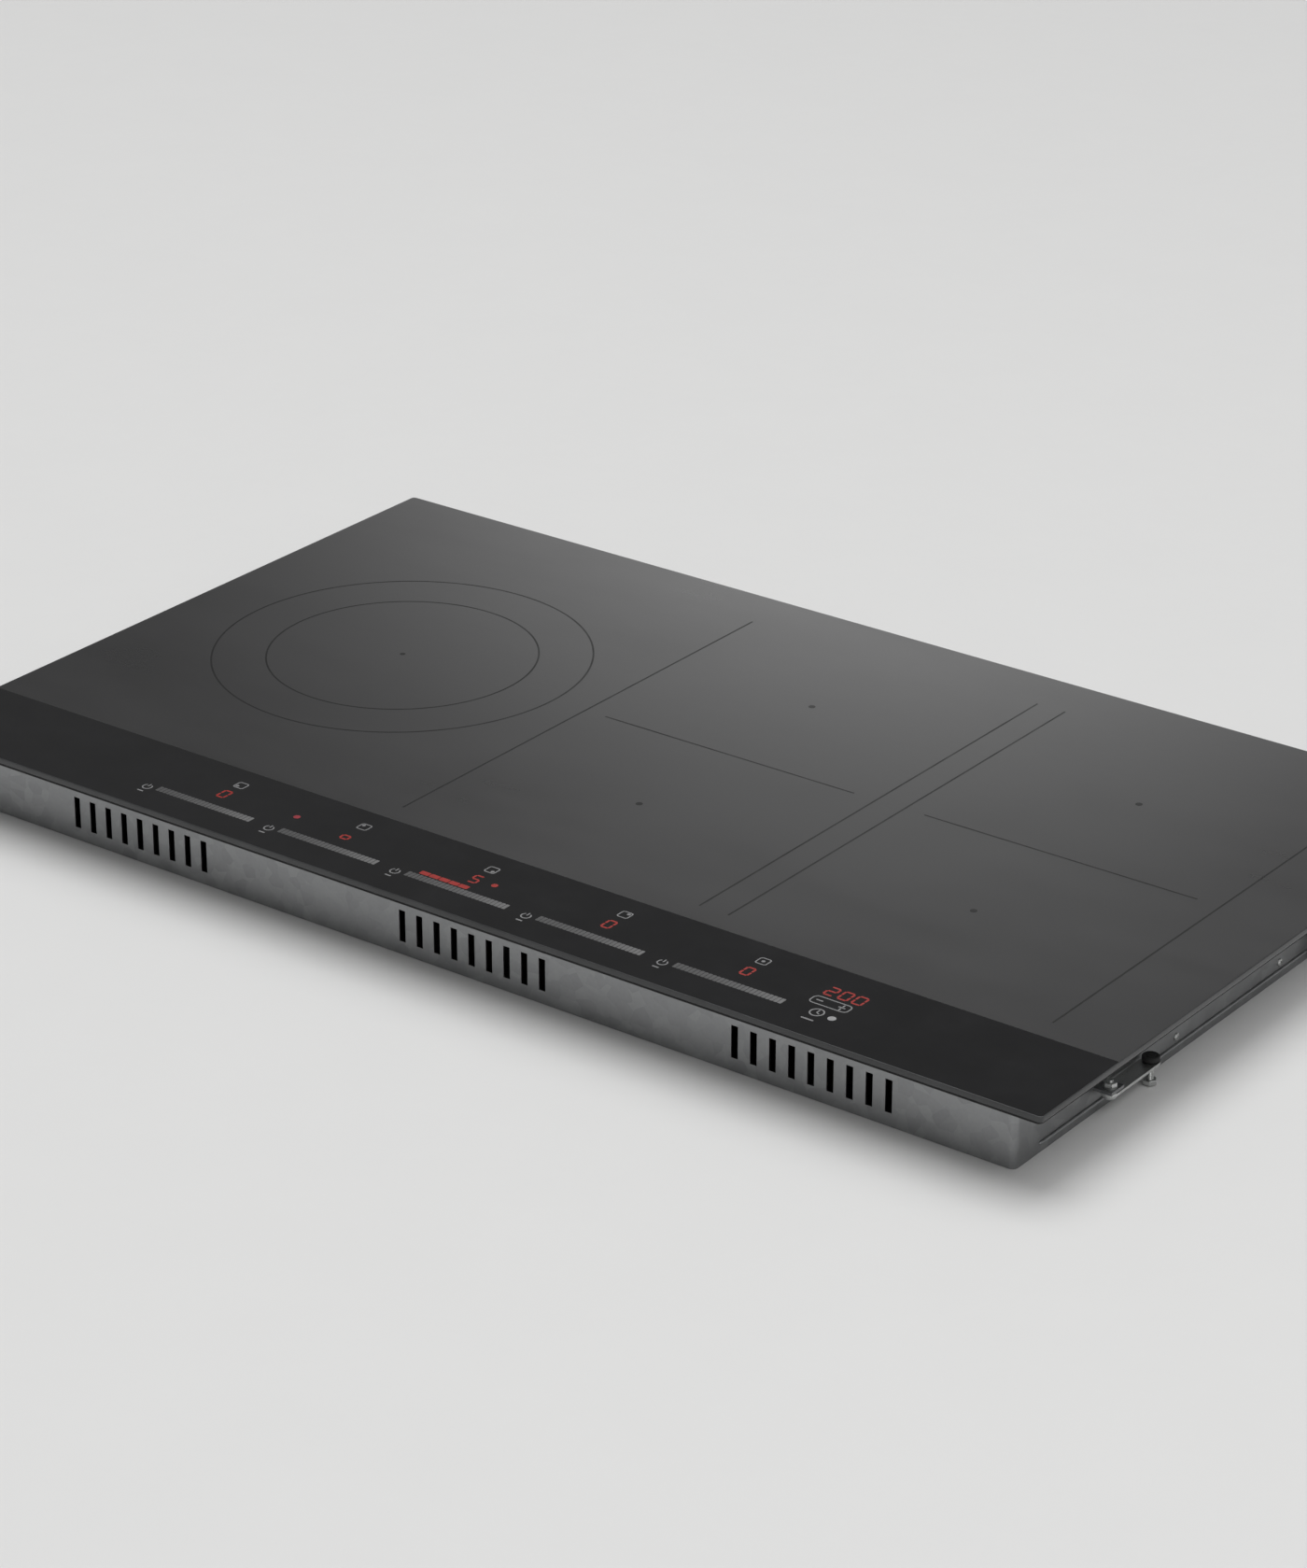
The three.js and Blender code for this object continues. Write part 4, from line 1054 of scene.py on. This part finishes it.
def add_coil_leads():
    """Sleeved leads from the inner and outer ends of each winding down to the spade terminals."""
    for place in MODULES:
        spots = [spot for spot in SPOTS if spot.split("_")[0] == place]
        x = centre_mm(f"coil_plate_{place}")[0]
        edge = 27 if place == "left" else 33
        bm = bmesh.new()
        for coil, spot in enumerate(spots):
            for lead, offset in enumerate((14, 20)):
                y = centre_mm(f"coil_former_{spot}")[1] + offset
                low_y = y - 20 if place == "left" or coil else min(y, -30)
                route = [(x - edge, y, 42.35), (x - 56, y, 42.35), (x - 62, y, 40), (x - 63, y, 33)]
                route.append((x - 66, low_y, 24))
                if coil:
                    route.append((x - 66, 62, 20))
                add_tube(bm, smoothed(route + [(*spade(x, lead, coil), 17)]), 1.0, 10)
        finish_piece(f"coil_leads_{place}", bm, RED_WIRE, slot="red_wire")


def add_heat_sinks():
    """Extruded sinks: tapered fins on a base, as one section drawn out along Y."""
    foot, tip, base = 0.75, 0.45, 4
    for place in MODULES:
        node = f"heat_sink_{place}"
        low, high = box_mm(node)
        x = (low[0] + high[0]) / 2
        root = low[2] + base
        outline = [(low[0], low[2]), (high[0], low[2]), (high[0], root)]
        for offset in reversed(spread(15, 4.1)):
            middle = x + offset
            outline += [(middle + foot, root), (middle + tip, high[2])]
            outline += [(middle - tip, high[2]), (middle - foot, root)]
        outline.append((low[0], root))
        bm = bmesh.new()
        near, far = [[bm.verts.new((px, y, pz)) for px, pz in outline] for y in (low[1], high[1])]
        add_ends(bm, [outline], near, far)
        stitch(bm, far, near)
        finish_piece(f"finned_sink_{place}", bm, ALUMINIUM_FINS, slot="aluminium", replaces=[node])


BOARD_PARTS = [SOLDER_MASK, YELLOW_PART, BLACK_PART, WHITE_PLASTIC, COPPER, ZINC]
MASK, FILM, BLACK, WHITE, COPPER_SLOT, TIN = range(6)
BOARD_STAND = 4.7
BOARD_THICK = 1.6

# Parts with round upright edges: x, y, width, depth, corner radius, corner steps, height, material.
# X is from the board's middle, and the height is where the part ends in the shared frame.
POWER_PARTS = [
    (-86, -128, 29, 19, 1.5, 3, 29.9, FILM), (-86, -98, 29, 19, 1.5, 3, 29.9, FILM),
    (-52, -128, 29, 19, 1.5, 3, 29.9, FILM), (-52, -98, 29, 19, 1.5, 3, 29.9, FILM),
    (40, -129, 40, 21, 1.5, 3, 27, FILM), (26, -90, 19, 27, 1, 2, 24, WHITE),
    (54, -90, 19, 27, 1, 2, 24, BLACK), (74, -25, 34, 28, 2, 3, 26, BLACK),
    (88, 4, 19, 15, 0.8, 2, 16.8, WHITE), (88, 30, 19, 15, 0.8, 2, 16.8, WHITE),
]
# The same, with the height measured from the board's face.
POWER_CHIPS = [
    (-78, 34, 26, 9, 0.6, 2, 3.4), (64, 36, 12, 12, 0.6, 2, 2.2), (70, -8, 12, 12, 0.6, 2, 2.2),
    (19.5, -35, 5, 15, 0.5, 2, 19), (19.5, -13, 5, 15, 0.5, 2, 19),
    (19.5, 9, 5, 15, 0.5, 2, 19), (19.5, 31, 5, 15, 0.5, 2, 19),
]
CAPACITORS = [(-22, -132, 8, 21), (-22, -110, 8, 21), (-2, -122, 6.3, 16), (-88, -66, 5, 11)]
# Small parts strewn over a field: count, x range, y range and the material of the tall ones.
SMALL_PARTS = [(46, (-100, -86), (-50, 56), TIN), (34, (25, 56), (-58, 50), BLACK)]


def add_capacitor(bm, x, y, base, radius, height):
    """An electrolytic can: sleeve with a crimp groove near its foot and a bright scored top."""
    top = base + height
    sleeve = [
        (0, base), (radius, base), (radius, base + 1.6), (radius - 0.5, base + 2.2), (radius, base + 2.8),
        (radius, top - 0.6), (radius - 0.6, top), (radius - 1.2, top), (0, top - 0.3),
    ]
    add_lathe(bm, sleeve, (x, y, 0), 28, material=BLACK)
    add_disc(bm, 0, radius - 1.3, top - 0.5, top - 0.1, (x, y, 0), 28, material=TIN)


def add_toroid(bm, x, y, z, angles, mean, section, rise, wire, material):
    """Separate turns of wire round a ring core whose middle circle has the radius mean."""
    for angle in angles:
        loop = []
        for step in range(12):
            t = 2 * math.pi * step / 12
            r = mean + section * math.cos(t)
            loop.append((x + r * math.cos(angle), y + r * math.sin(angle), z + rise * math.sin(t)))
        add_tube(bm, loop, wire, 6, closed=True, material=material)


def add_power_boards():
    randomly = random.Random(7)
    for place in MODULES:
        node = f"power_board_{place}"
        low, high = box_mm(node)
        x = (low[0] + high[0]) / 2
        top = low[2] + BOARD_STAND + BOARD_THICK
        under = top - BOARD_THICK
        bm = bmesh.new()
        corners = [(x + sx, sy) for sx in (-96, 96) for sy in (-146, 52)]
        holes = [circle(px, py, 1.7, 16) for px, py in corners]
        add_plate(bm, rectangle(x, (low[1] + high[1]) / 2, 210, 217, 2, 3), under, top, holes, MASK)
        for px, py in corners:
            add_disc(bm, 1.8, 3.2, low[2], under, (px, py, 0), 16, material=WHITE)
        for px, py, width, depth, radius, steps, end, material in POWER_PARTS:
            add_block(bm, x + px, py, width, depth, radius, steps, top, end, material)
        for px, py, width, depth, radius, steps, height in POWER_CHIPS:
            add_block(bm, x + px, py, width, depth, radius, steps, top, top + height, BLACK)
        turns = [2 * math.pi * i / 14 for i in range(14)]
        add_toroid(bm, x + 78, -92, top + 9, turns, 11.5, 4.6, 7.4, 1.0, COPPER_SLOT)
        add_disc(bm, 7.6, 15.0, top + 2.8, top + 15, (x + 78, -92, 0), 28, material=BLACK)
        for py in (4, 30):
            for pin in spread(4, 3.6):
                add_box(bm, x + 86.6, x + 89.4, py + pin - 0.6, py + pin + 0.6, 16.4, 18.4, TIN)
        for px, py, radius, height in CAPACITORS:
            add_capacitor(bm, x + px, py, top, radius, height)
        for px, py in [spade(x, lead, coil) for lead in (0, 1) for coil in (0, 1)]:
            for half_width, half_depth, height in ((0.4, 3.1, 8.5), (1.6, 3.6, 1.0)):
                sides = (px - half_width, px + half_width, py - half_depth, py + half_depth)
                add_box(bm, *sides, top, top + height, TIN)
        for side in (-5.6, 5.6):
            for pin in spread(9, 2.54):
                px, py = x - 78 + pin, 34 + side
                add_box(bm, px - 0.4, px + 0.4, py - 1.2, py + 1.2, top, top + 1.1, TIN)
        for count, across, along, tall in SMALL_PARTS:
            for _ in range(count):
                px, py = x + randomly.uniform(*across), randomly.uniform(*along)
                w, d, h = randomly.uniform(1.6, 4), randomly.uniform(1, 2.4), randomly.uniform(0.6, 1.6)
                add_box(bm, px, px + w, py, py + d, top, top + h, BLACK if h < 1.2 else tall)
        name = f"power_module_{place}"
        finish_piece(name, bm, BOARD_PARTS, slot="circuit_board", replaces=[node], bevel=0.25, bevel_segments=1)


def add_filter_board():
    low, high = box_mm("filter_board")
    left, front = low[0], low[1]
    top = low[2] + BOARD_STAND + BOARD_THICK
    under = top - BOARD_THICK
    width, depth = high[0] - left, high[1] - front
    bm = bmesh.new()
    add_block(bm, (left + high[0]) / 2, (front + high[1]) / 2, width, depth, 2, 3, under, top, MASK)
    for px in (left + 7, high[0] - 7):
        add_disc(bm, 0, 3.2, low[2], under, (px, high[1] - 7, 0), 16, material=WHITE)
    add_block(bm, left + 18, front + 16, 24, 20, 1.5, 3, top, 25, FILM)
    add_block(bm, left + 104, front + 21, 16, 26, 1, 2, top, 22, WHITE)
    add_block(bm, left + 40, front + 22, 12, 32, 1.5, 3, top, 18, FILM)
    look = {"slot": "circuit_board", "bevel": 0.25, "bevel_segments": 1}
    finish_piece("mains_filter", bm, BOARD_PARTS, replaces=["filter_board"], **look)
    x, y, z = centre_mm("filter_choke")
    bm = bmesh.new()
    add_disc(bm, 8, 16, z - 4, z + 4, (x, y, 0), 32)
    turns = [math.radians(20 + 14 * i + half) for half in (0, 180) for i in range(11)]
    add_toroid(bm, x, y, z, turns, 12, 4.9, 4.9, 0.6, 1)
    finish_piece("filter_toroid", bm, [FERRITE, COPPER], slot="copper_litz", replaces=["filter_choke"])


def add_ribbon():
    """The flat cable as sixteen bonded cores, the first one red, with a connector at each end."""
    low, high = box_mm("control_ribbon")
    cores = 16
    pitch = (high[0] - low[0]) / cores
    middle = (low[0] + high[0]) / 2
    route = [(-186.1, 46), (-184, 36), (-176, 18), (-163, 9.6), (-149, 8.6)]
    bm = bmesh.new()
    for i, offset in enumerate(spread(cores, pitch)):
        path = smoothed([(middle + offset, y, z) for y, z in route], 3)
        add_tube(bm, path, pitch * 0.52, 8, material=0 if i else 1)
    materials = [GREY_CABLE, RED_WIRE]
    finish_piece("ribbon_cores", bm, materials, slot="red_wire", replaces=["control_ribbon"], smooth=50)
    bm = bmesh.new()
    add_block(bm, middle, -147.5, 25, 6, 0.6, 2, 7.6, 12.6)
    add_block(bm, middle, -187.6, 25, 4.4, 0.6, 2, 43, 49)
    finish_piece("ribbon_plugs", bm, BLACK_PLASTIC, slot="black_plastic", bevel=0.3)


def add_control_parts():
    """Display modules and spring seats under the control board, and its touch electrodes on top."""
    low, high = box_mm("control_board")
    under, face = low[2] - 0.05, high[2]
    bm = bmesh.new()
    for x in SLIDER_X:
        add_box(bm, x - 9, x + 9, DIGIT_Y - 6, DIGIT_Y + 6, under - 3.5, under, BLACK)
        for offset in spread(9, 9):
            add_disc(bm, 0, 1.6, under - 1.2, under, (x + offset, SLIDER_Y + 6, 0), 12, material=TIN)
    add_box(bm, 266, 294, -214, -202, under - 3.5, under, BLACK)
    finish_piece("display_modules", bm, BOARD_PARTS, slot="circuit_board", bevel=0.2, bevel_segments=1)
    add_ribbon()
    low_z, high_z = face - 0.05, face + 0.06
    bm = bmesh.new()
    for x in SLIDER_X:
        for offset in spread(9, SLIDER_LENGTH / 9):
            add_block(bm, x + offset, -232, 8.2, 9, 1, 3, low_z, high_z)
        add_plate(bm, circle(x + KEY_SHIFT, -229, 4.2, 24), low_z, high_z)
        for px in (x - 3, x + 3):
            add_block(bm, px, DIGIT_Y + 18, 3.2, 1.6, 0.3, 2, low_z, face + 0.12)
    for x in (268, 282):
        add_block(bm, x, TIMER_KEYS_Y, 11, 8, 2, 4, low_z, high_z)
    finish_piece("touch_electrodes", bm, COPPER, slot="copper_litz")


CARRIED = {
    "bottom_tray": (STEEL, 0.0),
    "support_frame": (ALUMINIUM, 0.3),
    "terminal_box": (BLACK_PLASTIC, 0.3),
    "terminal_cover": (BLACK_PLASTIC, 0.3),
    "terminal_block": (WHITE_PLASTIC, 0.3),
    "cable_gland": (BLACK_PLASTIC, 0.25),
    "control_board": (SOLDER_MASK, 0.0),
    "control_holder": (BLACK_PLASTIC, 0.2),
}


def paint_carried_nodes():
    """CAD nodes whose shape already serves get a finish and, where it helps, softened edges."""
    carried = dict(CARRIED)
    for place in MODULES:
        carried[f"coil_plate_{place}"] = (ALUMINIUM, 0.25)
        carried[f"insulation_pad_{place}"] = (FELT, 0.4)
        carried[f"fan_housing_{place}"] = (BLACK_PLASTIC, 0.2)
    for spot in SPOTS:
        carried[f"coil_former_{spot}"] = (FERRITE, 0.25)
    for node, (material, bevel) in carried.items():
        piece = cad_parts[node]
        piece.data.materials.clear()
        piece.data.materials.append(material)
        if bevel:
            add_bevel(piece, bevel)


# ------------------------------------------------------------------ put together


def add_floor():
    bm = bmesh.new()
    bmesh.ops.create_grid(bm, x_segments=4, y_segments=4, size=12)
    for vert in bm.verts:
        vert.co.z = -0.0003
    mesh = bpy.data.meshes.new("floor")
    bm.to_mesh(mesh)
    bm.free()
    mesh.materials.append(plain_surface("floor_paper", (0.74, 0.74, 0.735), 0.9, spread=0.004, relief=0.0))
    floor = bpy.data.objects.new("floor", mesh)
    bpy.context.scene.collection.objects.link(floor)
    spare(rear_softbox, floor)


add_camera()
add_world(overhead=0.165, horizon=0.62, low=5, high=14)
add_fill(1.2, (-10, 8, 0), 70)
add_softbox("overhead_softbox", (-0.9, 0.2, 5.5), (-0.3, 0.3, 0), 4.6, 4.6, 130)
add_softbox("side_softbox", (2.6, -1.6, 2.6), (0, 0, 0), 1.8, 1.8, 22)
rear_softbox = add_softbox("rear_softbox", (-0.42, 0.95, 0.26), (-0.02, 0.2, 0.05), 1.6, 0.75, 2.1)
feather(rear_softbox, 3.0)
bpy.context.scene.view_settings.view_transform = "Standard"
add_floor()
add_glass()
add_zone_marks()
add_slider_scales()
add_symbols()
add_lights()
add_seal()
add_tray_details()
add_frame_screws()
add_clamps()
add_terminals()
add_windings()
add_probes()
add_fan_rotors()
add_fan_housing_details()
add_coil_leads()
add_heat_sinks()
add_power_boards()
add_filter_board()
add_control_parts()
paint_carried_nodes()
